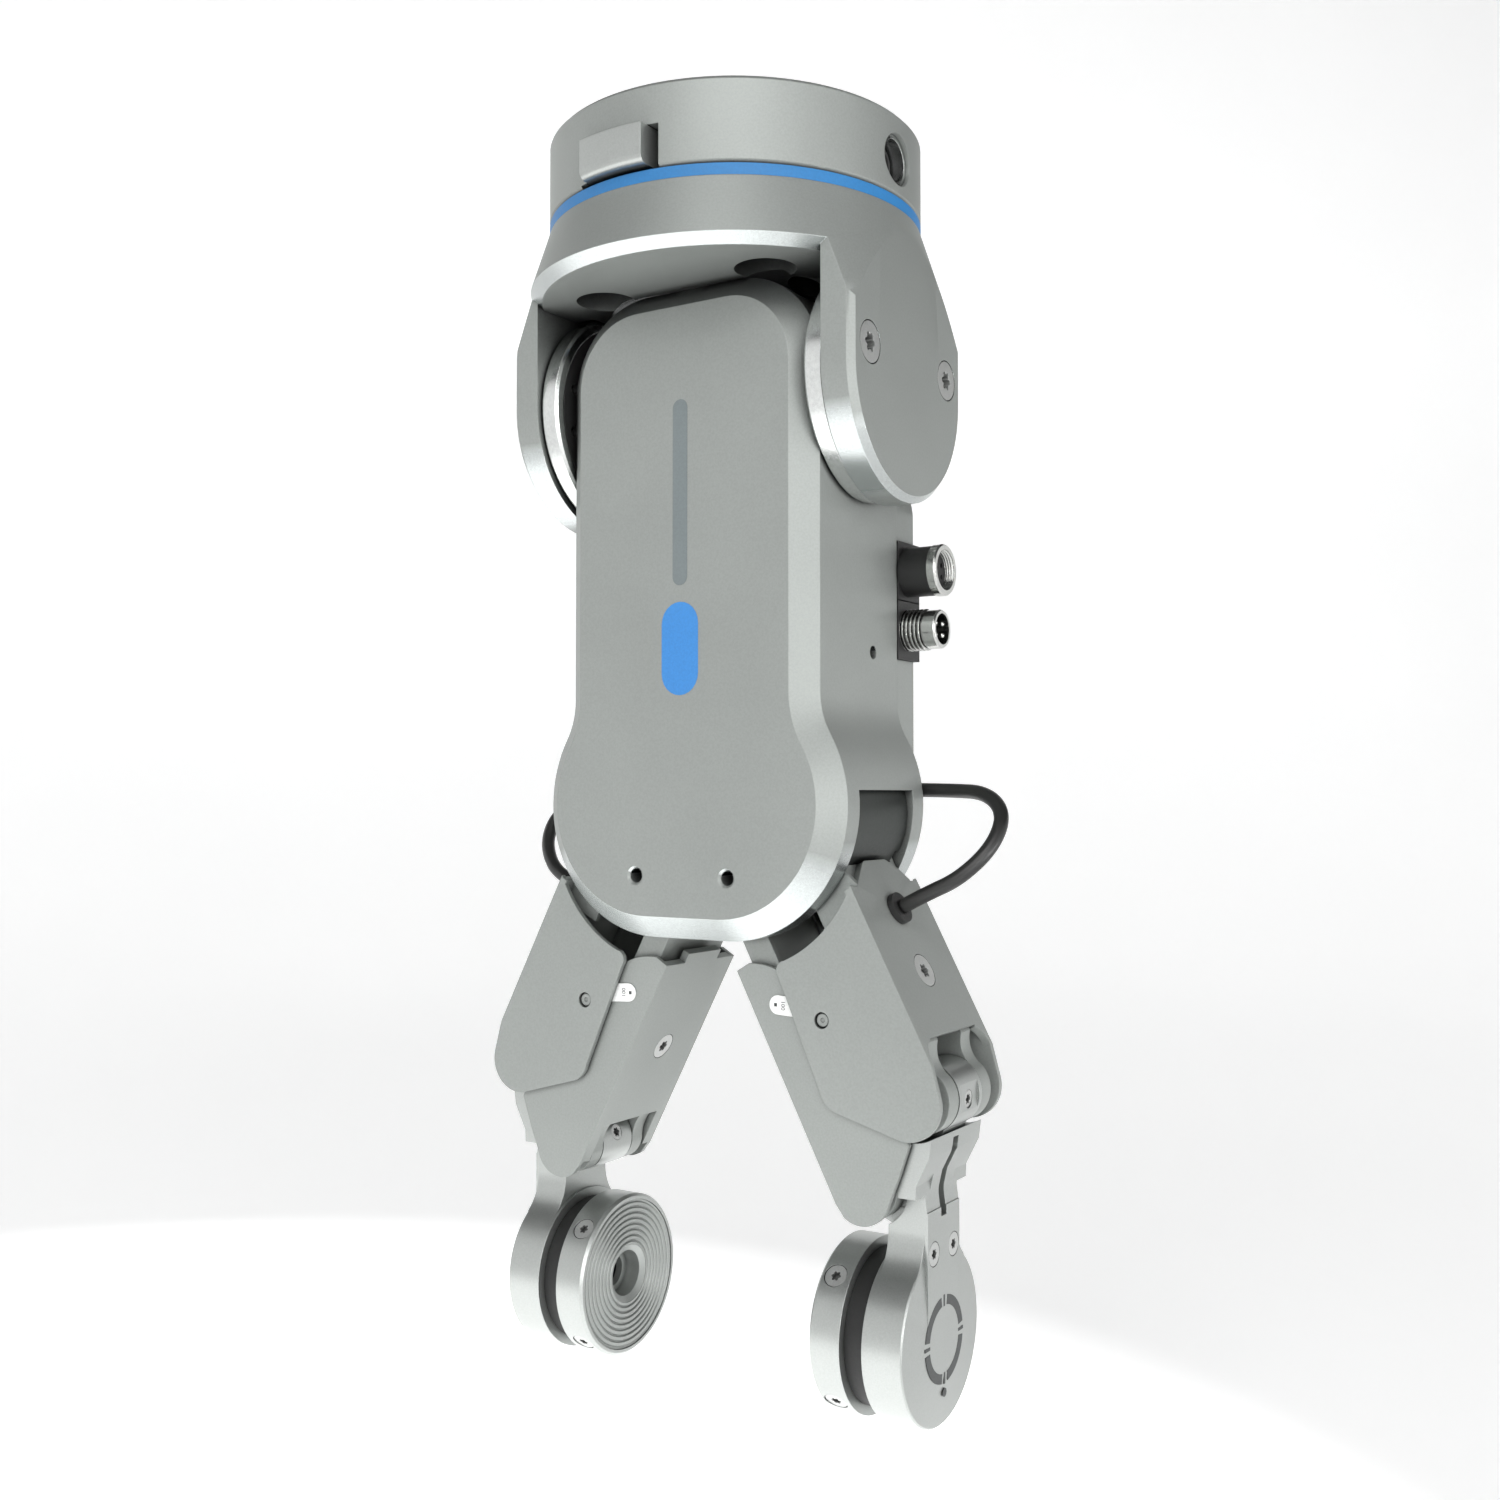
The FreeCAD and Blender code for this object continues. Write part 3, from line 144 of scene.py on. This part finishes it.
def facing_mask(tree, axis, low, high, one_way=0):
    """1 where the surface's own normal leans between low and high against an axis, else 0."""
    coords = node(tree, "TexCoord")
    parts = node(tree, "SeparateXYZ")
    tree.links.new(coords.outputs["Normal"], parts.inputs[0])
    lean = node(tree, "Math", operation="MULTIPLY" if one_way else "ABSOLUTE")
    tree.links.new(parts.outputs[axis], lean.inputs[0])
    if one_way:
        lean.inputs[1].default_value = one_way
    above = spread(tree, lean.outputs[0], 0.0, 1.0, low - 0.04, low + 0.04)
    below = spread(tree, lean.outputs[0], 1.0, 0.0, high - 0.02, high + 0.02)
    both = node(tree, "Math", operation="MULTIPLY")
    tree.links.new(above, both.inputs[0])
    tree.links.new(below, both.inputs[1])
    return both.outputs[0]


# the painted highlight colour and the cut finish's roughness for slopes picked by the way they face
LIT_CUT_COLOUR = (0.52, 0.55, 0.545)
CUT_ROUGH = 0.27


def finish_for(name, dark, light, rough, grain=2600.0, bump=0.25, depth=0.02, metallic=1.0, edge=0.25,
               rough_span=0.06, stretch=(1, 1, 1), patch=26.0, coat=0.0, gap_shade=0.9, hollow_shade=0.0, machined=None):
    """A procedural surface: mottled colour, fine grain in bump and roughness, softened edges, painted shade in
    crevices.
    grain is the grain's scale per metre, depth its height in mm, edge the edge radius in mm.
    gap_shade paints shade into narrow gaps and hollow_shade paints shade into the deep hollows the studio light
    does not reach.
    machined, if given, is (axis, low, high, one_way): the slopes facing that way get a cut finish's roughness and
    a painted highlight, a brighter colour picked by the way they face."""
    mat, tree, shader = new_material(name)
    broad = spread(tree, noise(tree, patch, 2.0), 0.0, 1.0)
    fine = noise(tree, grain, 3.0, 0.6, stretch)
    colour = mixed(tree, broad, dark, light)
    speck = spread(tree, fine, 0.94, 1.05, 0.35, 0.65)
    roughness = spread(tree, fine, rough - rough_span, rough + rough_span)
    metal = None
    if machined:
        # painted highlight: slopes picked by the way they face get a brighter colour, besides the cut finish's
        # roughness and metal
        mask = facing_mask(tree, *machined)
        colour = mixed(tree, mask, colour, LIT_CUT_COLOUR)
        cut_rough = node(tree, "Mix", data_type="FLOAT")
        tree.links.new(mask, cut_rough.inputs["Factor"])
        tree.links.new(roughness, cut_rough.inputs["A"])
        cut_rough.inputs["B"].default_value = CUT_ROUGH
        roughness = cut_rough.outputs["Result"]
        metal = node(tree, "Mix", data_type="FLOAT")
        tree.links.new(mask, metal.inputs["Factor"])
        metal.inputs["A"].default_value = metallic
        metal.inputs["B"].default_value = 1.0
    colour = times(tree, colour, speck)
    # painted shade: ambient occlusion darkens the colour in narrow gaps and in deep hollows
    for reach, amount, dark_at, open_at in ((1.6, gap_shade, 0.12, 0.8), (26.0, hollow_shade, 0.22, 0.52)):
        if amount:
            shade = node(tree, "AmbientOcclusion", samples=6, Distance=reach * MM)
            tree.links.new(colour, shade.inputs["Color"])
            painted_shade = spread(tree, shade.outputs["AO"], 1.0 - amount, 1.0, dark_at, open_at)
            colour = times(tree, colour, painted_shade)
    tree.links.new(colour, shader.inputs["Base Color"])
    tree.links.new(roughness, shader.inputs["Roughness"])
    rounded = node(tree, "Bevel", samples=4, Radius=edge * MM)
    relief = node(tree, "Bump", Strength=bump, Distance=depth * MM)
    tree.links.new(fine, relief.inputs["Height"])
    tree.links.new(rounded.outputs["Normal"], relief.inputs["Normal"])
    tree.links.new(relief.outputs["Normal"], shader.inputs["Normal"])
    if metal:
        tree.links.new(metal.outputs["Result"], shader.inputs["Metallic"])
    else:
        shader.inputs["Metallic"].default_value = metallic
    shader.inputs["Coat Weight"].default_value = coat
    return mat


BODY_DARK = (0.280, 0.296, 0.284)
BODY_LIGHT = (0.303, 0.320, 0.307)

MATERIALS = {
    "blasted": finish_for("bead_blasted_aluminium", BODY_DARK, BODY_LIGHT, 0.5, metallic=0.55),
    # housing and bracket: painted shade in deep hollows, and a painted highlight on the slopes that face down
    "housing": finish_for("bead_blasted_housing", BODY_DARK, BODY_LIGHT, 0.5, metallic=0.55,
                          hollow_shade=0.7, machined=("Z", 0.3, 0.96, -1)),
    "bracket": finish_for("bead_blasted_bracket", BODY_DARK, BODY_LIGHT, 0.5, metallic=0.55,
                          hollow_shade=0.9, machined=("Z", 0.35, 0.96, -1)),
    "turned": finish_for("turned_aluminium", (0.41, 0.427, 0.415), (0.44, 0.458, 0.445), 0.34, grain=3600.0,
                         bump=0.10, depth=0.006, edge=0.15, metallic=0.9),
    "grip": finish_for("grooved_aluminium", (0.33, 0.346, 0.334), (0.36, 0.378, 0.365), 0.45, grain=3600.0,
                       bump=0.10, depth=0.006, edge=0.05, metallic=0.7),
    "polished": finish_for("polished_rim", (0.66, 0.675, 0.665), (0.72, 0.735, 0.725), 0.22, grain=1500.0,
                           bump=0.06, depth=0.004, edge=0.15, rough_span=0.03),
    "blue": finish_for("blue_seal", (0.016, 0.145, 0.36), (0.022, 0.165, 0.40), 0.5, grain=1800.0, metallic=0.0,
                       bump=0.15, edge=0.1),
    "steel": finish_for("screw_steel", (0.46, 0.47, 0.46), (0.52, 0.53, 0.52), 0.36, grain=3000.0, bump=0.12,
                        edge=0.12, metallic=0.7),
    "spring": finish_for("spring_steel", (0.45, 0.45, 0.44), (0.52, 0.52, 0.51), 0.28, grain=2500.0),
    "black": finish_for("black_plastic", (0.010, 0.010, 0.010), (0.018, 0.018, 0.018), 0.48, grain=3400.0,
                        metallic=0.0, bump=0.35, depth=0.012, edge=0.15),
    "nickel": finish_for("nickel", (0.58, 0.585, 0.57), (0.68, 0.685, 0.665), 0.16, grain=1800.0, bump=0.08,
                         depth=0.004, edge=0.1, rough_span=0.04),
    "gold": finish_for("gold_contact", (0.70, 0.48, 0.17), (0.82, 0.58, 0.24), 0.22, grain=2000.0, bump=0.08,
                       edge=0.08),
    "dark_steel": finish_for("dark_steel", (0.045, 0.05, 0.047), (0.065, 0.07, 0.067), 0.42, grain=1600.0,
                             metallic=0.75, bump=0.3, depth=0.012, edge=0.2),
    "motor": finish_for("motor_steel", (0.38, 0.38, 0.37), (0.46, 0.46, 0.45), 0.32, grain=1400.0,
                        stretch=(1, 1, 0.05), edge=0.2),
    "board": finish_for("board_green", (0.006, 0.09, 0.035), (0.012, 0.13, 0.05), 0.38, grain=900.0, metallic=0.0,
                        edge=0.1, coat=0.4),
    "label": finish_for("label_white", (0.72, 0.73, 0.72), (0.80, 0.81, 0.80), 0.5, grain=2400.0, metallic=0.0,
                        bump=0.1, edge=0.05),
    "cable": finish_for("cable_jacket", (0.012, 0.012, 0.012), (0.021, 0.021, 0.02), 0.38, grain=2600.0,
                        metallic=0.0, bump=0.3, depth=0.02, edge=0.1),
    "lens": finish_for("lens_dark", (0.012, 0.012, 0.014), (0.03, 0.03, 0.034), 0.3, grain=700.0, metallic=0.0,
                       bump=0.02, edge=0.1),
    "rubber": finish_for("core_rubber", (0.008, 0.008, 0.008), (0.014, 0.014, 0.014), 0.55, grain=2600.0,
                         metallic=0.0, bump=0.4, depth=0.02, edge=0.15),
    "print_blue": finish_for("print_blue", (0.03, 0.19, 0.50), (0.04, 0.22, 0.55), 0.45, grain=2600.0,
                             metallic=0.0, bump=0.1, edge=0.02),
    "print_grey": finish_for("print_grey", (0.13, 0.155, 0.16), (0.16, 0.185, 0.19), 0.5, grain=2600.0,
                             metallic=0.0, bump=0.1, edge=0.02),
    "print_dark": finish_for("print_dark", (0.035, 0.038, 0.038), (0.05, 0.054, 0.054), 0.5, grain=2600.0,
                             metallic=0.0, bump=0.1, edge=0.02),
}

LOOK = {
    "changer_disc": "blasted", "port_bush": "polished", "contact_block": "black", "latch_button": "turned",
    "latch_spring": "spring", "changer_seal_ring": "blue", "tilt_bracket": "bracket", "ear_screws": "steel",
    "bracket_screws": "steel", "housing": "housing", "tilt_discs": "polished", "index_plates": "black",
    "rear_cover": "blasted", "rear_cover_screws": "steel", "connector_flanges": "black",
    "socket_body": "black", "socket_ring": "nickel", "connector_inserts": "black", "plug_body": "nickel",
    "plug_pins": "nickel", "motor": "motor", "gearhead": "motor", "worm_shaft": "steel",
    "worm_bearings": "steel", "circuit_board": "board", "upper_pins": "steel", "cable_glands": "black",
    "worm_wheel": "dark_steel", "outer_link": "blasted", "outer_link_screw": "steel", "grommet": "black",
    "inner_link": "blasted", "inner_link_screw": "steel", "scale_label": "label", "tip_carrier": "turned",
    "tip_screws": "steel", "lower_pins": "steel", "sensor_core": "rubber", "bezel_ring": "turned",
    "grip_pad": "grip", "eyelet": "grip", "window_lens": "lens", "sensor_cable": "cable",
}


# ---------------------------------------------------------------- CAD nodes: shading and finish
def smooth_group(angle):
    """A node group that smooths curved faces and keeps edges sharper than the angle."""
    group = bpy.data.node_groups.new("smooth_by_angle", "GeometryNodeTree")
    group.interface.new_socket("Geometry", in_out="INPUT", socket_type="NodeSocketGeometry")
    group.interface.new_socket("Geometry", in_out="OUTPUT", socket_type="NodeSocketGeometry")
    start = group.nodes.new("NodeGroupInput")
    end = group.nodes.new("NodeGroupOutput")
    faces = group.nodes.new("GeometryNodeSetShadeSmooth")
    faces.domain = "FACE"
    edges = group.nodes.new("GeometryNodeSetShadeSmooth")
    edges.domain = "EDGE"
    edges.inputs["Shade Smooth"].default_value = False
    turn = group.nodes.new("GeometryNodeInputMeshEdgeAngle")
    sharp = group.nodes.new("FunctionNodeCompare")
    sharp.operation = "GREATER_THAN"
    sharp.inputs["B"].default_value = angle
    group.links.new(turn.outputs["Unsigned Angle"], sharp.inputs["A"])
    group.links.new(start.outputs[0], faces.inputs["Geometry"])
    group.links.new(faces.outputs["Geometry"], edges.inputs["Geometry"])
    group.links.new(sharp.outputs["Result"], edges.inputs["Selection"])
    group.links.new(edges.outputs["Geometry"], end.inputs[0])
    return group


SMOOTH = smooth_group(math.radians(24))


def smoothed(obj):
    weld = obj.modifiers.new("weld", "WELD")
    weld.merge_threshold = 0.000002
    shading = obj.modifiers.new("smooth", "NODES")
    shading.node_group = SMOOTH


for name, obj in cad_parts.items():
    kind = name
    for side in ("right_", "left_"):
        if name.startswith(side):
            kind = name[len(side):]
    obj.data.materials.clear()
    obj.data.materials.append(MATERIALS[LOOK[kind]])
    if obj.data.has_custom_normals:
        for key in [a.name for a in obj.data.attributes if a.name == "custom_normal"]:
            obj.data.attributes.remove(obj.data.attributes[key])
    smoothed(obj)


# ---------------------------------------------------------------- sensor cables
CABLE_D = 2.7
# the route's points in mm, from the gland on the rear cover to the grommet in the outer link
ROUTE = [(28.6, 18.0, -122.1), (36.5, 18.0, -122.2), (45.5, 14.6, -122.6), (50.9, 10.0, -126.4),
         (50.7, 5.2, -132.2), (46.0, 1.4, -137.8), (39.86, 0.0, -140.72), (35.43, 0.0, -143.03)]


def centreline(points):
    """Points read from the route's smooth spline."""
    curve = bpy.data.curves.new("route", "CURVE")
    curve.dimensions = "3D"
    curve.resolution_u = 16
    line = curve.splines.new("NURBS")
    line.points.add(len(points) - 1)
    for place, point in zip(line.points, points):
        place.co = (*point, 1)
    line.order_u = 3
    line.use_endpoint_u = True
    holder = bpy.data.objects.new("route", curve)
    scene.collection.objects.link(holder)
    bpy.context.view_layer.update()
    mesh = bpy.data.meshes.new_from_object(holder)
    found = [v.co.copy() for v in mesh.vertices]
    bpy.data.objects.remove(holder)
    bpy.data.meshes.remove(mesh)
    return found


def tube(name, line, radius, sides=20):
    """A round tube through the line's points, its rings turned with the line."""
    bm = bmesh.new()
    rings = []
    across = None
    for k, point in enumerate(line):
        ahead = line[min(k + 1, len(line) - 1)] - line[max(k - 1, 0)]
        ahead.normalize()
        if across is None:
            across = ahead.orthogonal().normalized()
        across = (across - ahead * across.dot(ahead)).normalized()
        up = ahead.cross(across)
        ring = []
        for s in range(sides):
            a = 2 * math.pi * s / sides
            ring.append(bm.verts.new(point + (across * math.cos(a) + up * math.sin(a)) * radius))
        rings.append(ring)
    for one, two in zip(rings, rings[1:]):
        for s in range(sides):
            t = (s + 1) % sides
            bm.faces.new((one[s], one[t], two[t], two[s]))
    bm.faces.new(rings[0][::-1])
    bm.faces.new(rings[-1])
    mesh = bpy.data.meshes.new(name)
    bm.to_mesh(mesh)
    bm.free()
    for face in mesh.polygons:
        face.use_smooth = len(face.vertices) == 4
    obj = bpy.data.objects.new(name, mesh)
    scene.collection.objects.link(obj)
    return obj


for side, sign in (("right", 1), ("left", -1)):
    points = [Vector((sign * x, y, z)) * MM for x, y, z in ROUTE]
    line = centreline(points)
    cable = tube(side + "_cable", line, CABLE_D / 2 * MM)
    cable.data.materials.append(MATERIALS["cable"])
    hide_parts(side + "_sensor_cable")
    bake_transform(cable, "housing", side + "_outer", start=points[0], end=points[-1])


# ---------------------------------------------------------------- printed marks and labels
def flat_piece(name, outlines, thickness, place, material, body):
    """Thin inlays: closed outlines in mm, extruded by the thickness, then put in place."""
    bm = bmesh.new()
    for outline in outlines:
        low = [bm.verts.new((x * MM, y * MM, 0)) for x, y in outline]
        high = [bm.verts.new((x * MM, y * MM, thickness * MM)) for x, y in outline]
        bm.faces.new(low[::-1])
        bm.faces.new(high)
        for k in range(len(outline)):
            n = (k + 1) % len(outline)
            bm.faces.new((low[k], low[n], high[n], high[k]))
    bmesh.ops.transform(bm, matrix=place, verts=bm.verts)
    bmesh.ops.recalc_face_normals(bm, faces=bm.faces)
    mesh = bpy.data.meshes.new(name)
    bm.to_mesh(mesh)
    bm.free()
    obj = bpy.data.objects.new(name, mesh)
    scene.collection.objects.link(obj)
    obj.data.materials.append(MATERIALS[material])
    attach(obj, body)
    return obj


def stadium(cx, cy, width, height, steps=12):
    """A bar with round ends, width across and height along y."""
    r = width / 2
    half = height / 2 - r
    points = [(cx + r * math.cos(math.pi * k / steps), cy + half + r * math.sin(math.pi * k / steps))
              for k in range(steps + 1)]
    points += [(cx - r * math.cos(math.pi * k / steps), cy - half - r * math.sin(math.pi * k / steps))
               for k in range(steps + 1)]
    return points


def facing(origin, right, up):
    """A matrix that puts the xy plane at origin with x to the right and y up."""
    x = Vector(right).normalized()
    y = Vector(up).normalized()
    z = x.cross(y)
    turn = Matrix((x, y, z)).transposed().to_4x4()
    return Matrix.Translation(Vector(origin)) @ turn


front_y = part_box("housing")[0][1] / MM
front = facing(mm(0, front_y, 0), (1, 0, 0), (0, 0, 1))
PRINT_THICK = 0.03
BADGE = stadium(0, -96.5, 8.0, 17.0)
STRIPE = stadium(0, -68.0, 3.2, 34.0)
flat_piece("front_badge", [BADGE], PRINT_THICK, front, "print_blue", "housing")
flat_piece("front_stripe", [STRIPE], PRINT_THICK, front, "print_grey", "housing")


def arc_band(inner, outer, start, end, steps=14):
    """Part of a flat ring between two angles in degrees."""
    def at(r, k):
        a = math.radians(start + (end - start) * k / steps)
        return (r * math.cos(a), r * math.sin(a))
    return [at(outer, k) for k in range(steps + 1)] + [at(inner, steps - k) for k in range(steps + 1)]


def disc_outline(cx, cy, r, steps=24):
    return [(cx + r * math.cos(2 * math.pi * k / steps), cy + r * math.sin(2 * math.pi * k / steps))
            for k in range(steps)]


RING_FACE_X = 43.34
RING_Z = -218.0
RING_INNER = 5.85
RING_OUTER = 7.55
RING_MIDDLE = (RING_INNER + RING_OUTER) / 2
BREAK_DEG = 9

# an axis ring and index dot on each holder's outer face
for side, sign in (("right", 1), ("left", -1)):
    place = facing(mm(sign * RING_FACE_X, 0, RING_Z), (0, sign, 0), (0, 0, 1))
    marks = [arc_band(RING_INNER, RING_OUTER, 90 * k + BREAK_DEG, 90 * (k + 1) - BREAK_DEG) for k in range(4)]
    for k in range(4):
        a = math.radians(90 * k)
        x, y = RING_MIDDLE * math.cos(a), RING_MIDDLE * math.sin(a)
        half = (0.28, 1.0) if k % 2 else (1.0, 0.28)
        marks.append([(x - half[0], y - half[1]), (x + half[0], y - half[1]),
                      (x + half[0], y + half[1]), (x - half[0], y + half[1])])
    marks.append(disc_outline(0, -9.2, 0.75))
    flat_piece(side + "_axis_ring", marks, 0.09, place, "print_dark", side + "_tip")


def text_piece(name, words, size, place, material, body):
    """Small printed figures, made into a mesh and put in place."""
    curve = bpy.data.curves.new(name, "FONT")
    curve.body = words
    curve.size = size * MM
    curve.extrude = 0.01 * MM
    curve.align_x = "CENTER"
    curve.align_y = "CENTER"
    holder = bpy.data.objects.new(name + "_text", curve)
    scene.collection.objects.link(holder)
    bpy.context.view_layer.update()
    mesh = bpy.data.meshes.new_from_object(holder)
    bpy.data.objects.remove(holder)
    mesh.transform(place)
    obj = bpy.data.objects.new(name, mesh)
    scene.collection.objects.link(obj)
    mesh.materials.clear()
    mesh.materials.append(MATERIALS[material])
    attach(obj, body)
    return obj


LABEL_FACE_Y = -11.775
FIGURE_HEIGHT = 1.15
FIGURES_AT = (17.6, -160.55)
MARK_AT = (16.1, -160.5)

# figures, turned to read along the link, and a square mark on the scale labels
for side, sign in (("right", 1), ("left", -1)):
    figures = facing(mm(sign * FIGURES_AT[0], LABEL_FACE_Y, FIGURES_AT[1]), (0, 0, -sign), (sign, 0, 0))
    text_piece(side + "_scale_figures", "100", FIGURE_HEIGHT, figures, "print_dark", side + "_inner")
    mark = facing(mm(sign * MARK_AT[0], LABEL_FACE_Y, MARK_AT[1]), (1, 0, 0), (0, 0, 1))
    flat_piece(side + "_scale_mark", [[(-0.3, -0.3), (0.3, -0.3), (0.3, 0.3), (-0.3, 0.3)]], 0.015, mark,
               "print_dark", side + "_inner")


def turned_piece(name, profile, place, material, body, steps=40):
    """A solid of revolution about local z from (radius, height) pairs in mm."""
    bm = bmesh.new()
    rings = []
    for r, h in profile:
        count = steps if r > 0 else 1
        rings.append([bm.verts.new((r * MM * math.cos(2 * math.pi * k / steps),
                                    r * MM * math.sin(2 * math.pi * k / steps), h * MM)) for k in range(count)])
    for one, two in zip(rings, rings[1:]):
        for k in range(steps):
            n = (k + 1) % steps
            if len(one) == 1:
                bm.faces.new((one[0], two[k], two[n]))
            elif len(two) == 1:
                bm.faces.new((one[k], two[0], one[n]))
            else:
                bm.faces.new((one[k], two[k], two[n], one[n]))
    bmesh.ops.transform(bm, matrix=place, verts=bm.verts)
    bmesh.ops.recalc_face_normals(bm, faces=bm.faces)
    mesh = bpy.data.meshes.new(name)
    bm.to_mesh(mesh)
    bm.free()
    obj = bpy.data.objects.new(name, mesh)
    scene.collection.objects.link(obj)
    obj.data.materials.append(MATERIALS[material])
    smoothed(obj)
    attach(obj, body)
    return obj


# the black insert deep in the disc's side port
PORT_FLOOR_X = 30.6
INSERT_PROFILE = [(0, 0), (3.55, 0), (3.55, 1.2), (3.2, 1.55), (2.6, 1.55), (2.45, 1.0), (0, 1.0)]
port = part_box("port_bush")
port_y = (port[0][1] + port[1][1]) / 2 / MM
port_z = (port[0][2] + port[1][2]) / 2 / MM
deep = facing(mm(PORT_FLOOR_X, port_y, port_z), (0, 1, 0), (0, 0, 1))
turned_piece("port_insert", INSERT_PROFILE, deep, "rubber", "bracket")

PIN_HOLE_X = 26.13
PIN_HOLE_Z = -162.41
PIN_FACE_Y = -12.0

# the small pins seen through the holes in the outer links' front cheeks
for side, sign in (("right", 1), ("left", -1)):
    pin = facing(mm(sign * PIN_HOLE_X, PIN_FACE_Y, PIN_HOLE_Z), (1, 0, 0), (0, 0, 1))
    turned_piece(side + "_gauge_pin", [(0, -0.05), (1.25, -0.05), (1.25, 0.35), (1.1, 0.5), (0.45, 0.5),
                                       (0.35, 0.28), (0, 0.28)], pin, "blasted", side + "_outer")


# ---------------------------------------------------------------- floor, light
def stage_bowl(floor_z, inner, outer, height, sides=96):
    """A pale floor that curves up into a backdrop all round."""
    profile = [(0.0, floor_z), (inner * 0.5, floor_z), (inner, floor_z)]
    for k in range(1, 13):
        a = math.pi / 2 * k / 12
        profile.append((inner + (outer - inner) * math.sin(a), floor_z + (outer - inner) * (1 - math.cos(a))))
    profile.append((outer, height))
    bm = bmesh.new()
    rows = []
    for r, z in profile:
        count = sides if r else 1
        turns = [2 * math.pi * k / sides for k in range(count)]
        rows.append([bm.verts.new((r * math.cos(a), r * math.sin(a), z)) for a in turns])
    for one, two in zip(rows, rows[1:]):
        for k in range(sides):
            n = (k + 1) % sides
            if len(one) == 1:
                bm.faces.new((one[0], two[k], two[n]))
            else:
                bm.faces.new((one[k], two[k], two[n], one[n]))
    mesh = bpy.data.meshes.new("backdrop")
    bm.to_mesh(mesh)
    bm.free()
    for face in mesh.polygons:
        face.use_smooth = True
    obj = bpy.data.objects.new("backdrop", mesh)
    scene.collection.objects.link(obj)
    return obj


FLOOR_Z = -0.300
backdrop = stage_bowl(FLOOR_Z, 1.2, 2.0, 1.3)
mat, tree, shader = new_material("backdrop_pale")
tone = mixed(tree, spread(tree, noise(tree, 3.0, 2.0), 0, 1), (0.86, 0.86, 0.86), (0.88, 0.88, 0.88))
tree.links.new(tone, shader.inputs["Base Color"])
shader.inputs["Roughness"].default_value = 0.9
shader.inputs["Emission Color"].default_value = (1, 1, 1, 1)
# painted pool of light: the floor glows more close under the gripper, a little to the front left
reach = node(tree, "VectorMath", operation="LENGTH")
coords = node(tree, "TexCoord")
shift = node(tree, "Mapping")
shift.inputs["Location"].default_value = (0.15, 0.08, 0.30)
tree.links.new(coords.outputs["Object"], shift.inputs["Vector"])
tree.links.new(shift.outputs["Vector"], reach.inputs[0])
painted_light_pool = spread(tree, reach.outputs["Value"], 1.5, 0.39, 0.20, 0.36)
tree.links.new(painted_light_pool, shader.inputs["Emission Strength"])
backdrop.data.materials.append(mat)

world = bpy.data.worlds.new("studio")
scene.world = world
world.use_nodes = True
tree = world.node_tree
tree.nodes.clear()
out = tree.nodes.new("ShaderNodeOutputWorld")
glow = tree.nodes.new("ShaderNodeBackground")
glow.inputs["Color"].default_value = (0.80, 0.82, 0.82, 1)
glow.inputs["Strength"].default_value = 0.14
tree.links.new(glow.outputs["Background"], out.inputs["Surface"])


def soft_light(name, at, towards, size, power):
    data = bpy.data.lights.new(name, "AREA")
    data.shape = "RECTANGLE"
    data.size = size[0]
    data.size_y = size[1]
    data.energy = power
    obj = bpy.data.objects.new(name, data)
    scene.collection.objects.link(obj)
    obj.location = at
    obj.rotation_mode = "QUATERNION"
    obj.rotation_quaternion = (Vector(towards) - Vector(at)).to_track_quat("-Z", "Y")
    return obj


soft_light("key_camera_side", (1.15, -0.95, 0.1), (0, 0, -0.05), (0.7, 0.7), 6)
soft_light("front_top", (0.4, -1.0, 0.85), (0, 0, -0.05), (0.9, 0.7), 8)
soft_light("low_right", (1.0, 0.05, -0.26), (0, 0, -0.09), (0.6, 0.08), 3)

# a dark screen behind and to the right, out of the picture, for the faces that lean up and away
flag_mesh = bpy.data.meshes.new("dark_screen")
flag_mesh.from_pydata([(0.10, 1.05, 0.16), (1.25, 0.45, 0.16), (1.25, 0.45, 1.2), (0.10, 1.05, 1.2)], [],
                      [(0, 1, 2, 3)])
flag = bpy.data.objects.new("dark_screen", flag_mesh)
scene.collection.objects.link(flag)
mat, tree, shader = new_material("screen_dark")
tone = mixed(tree, spread(tree, noise(tree, 6.0, 2.0), 0, 1), (0.02, 0.02, 0.02), (0.03, 0.03, 0.03))
tree.links.new(tone, shader.inputs["Base Color"])
shader.inputs["Roughness"].default_value = 0.9
flag.data.materials.append(mat)

scene.view_settings.view_transform = "Standard"
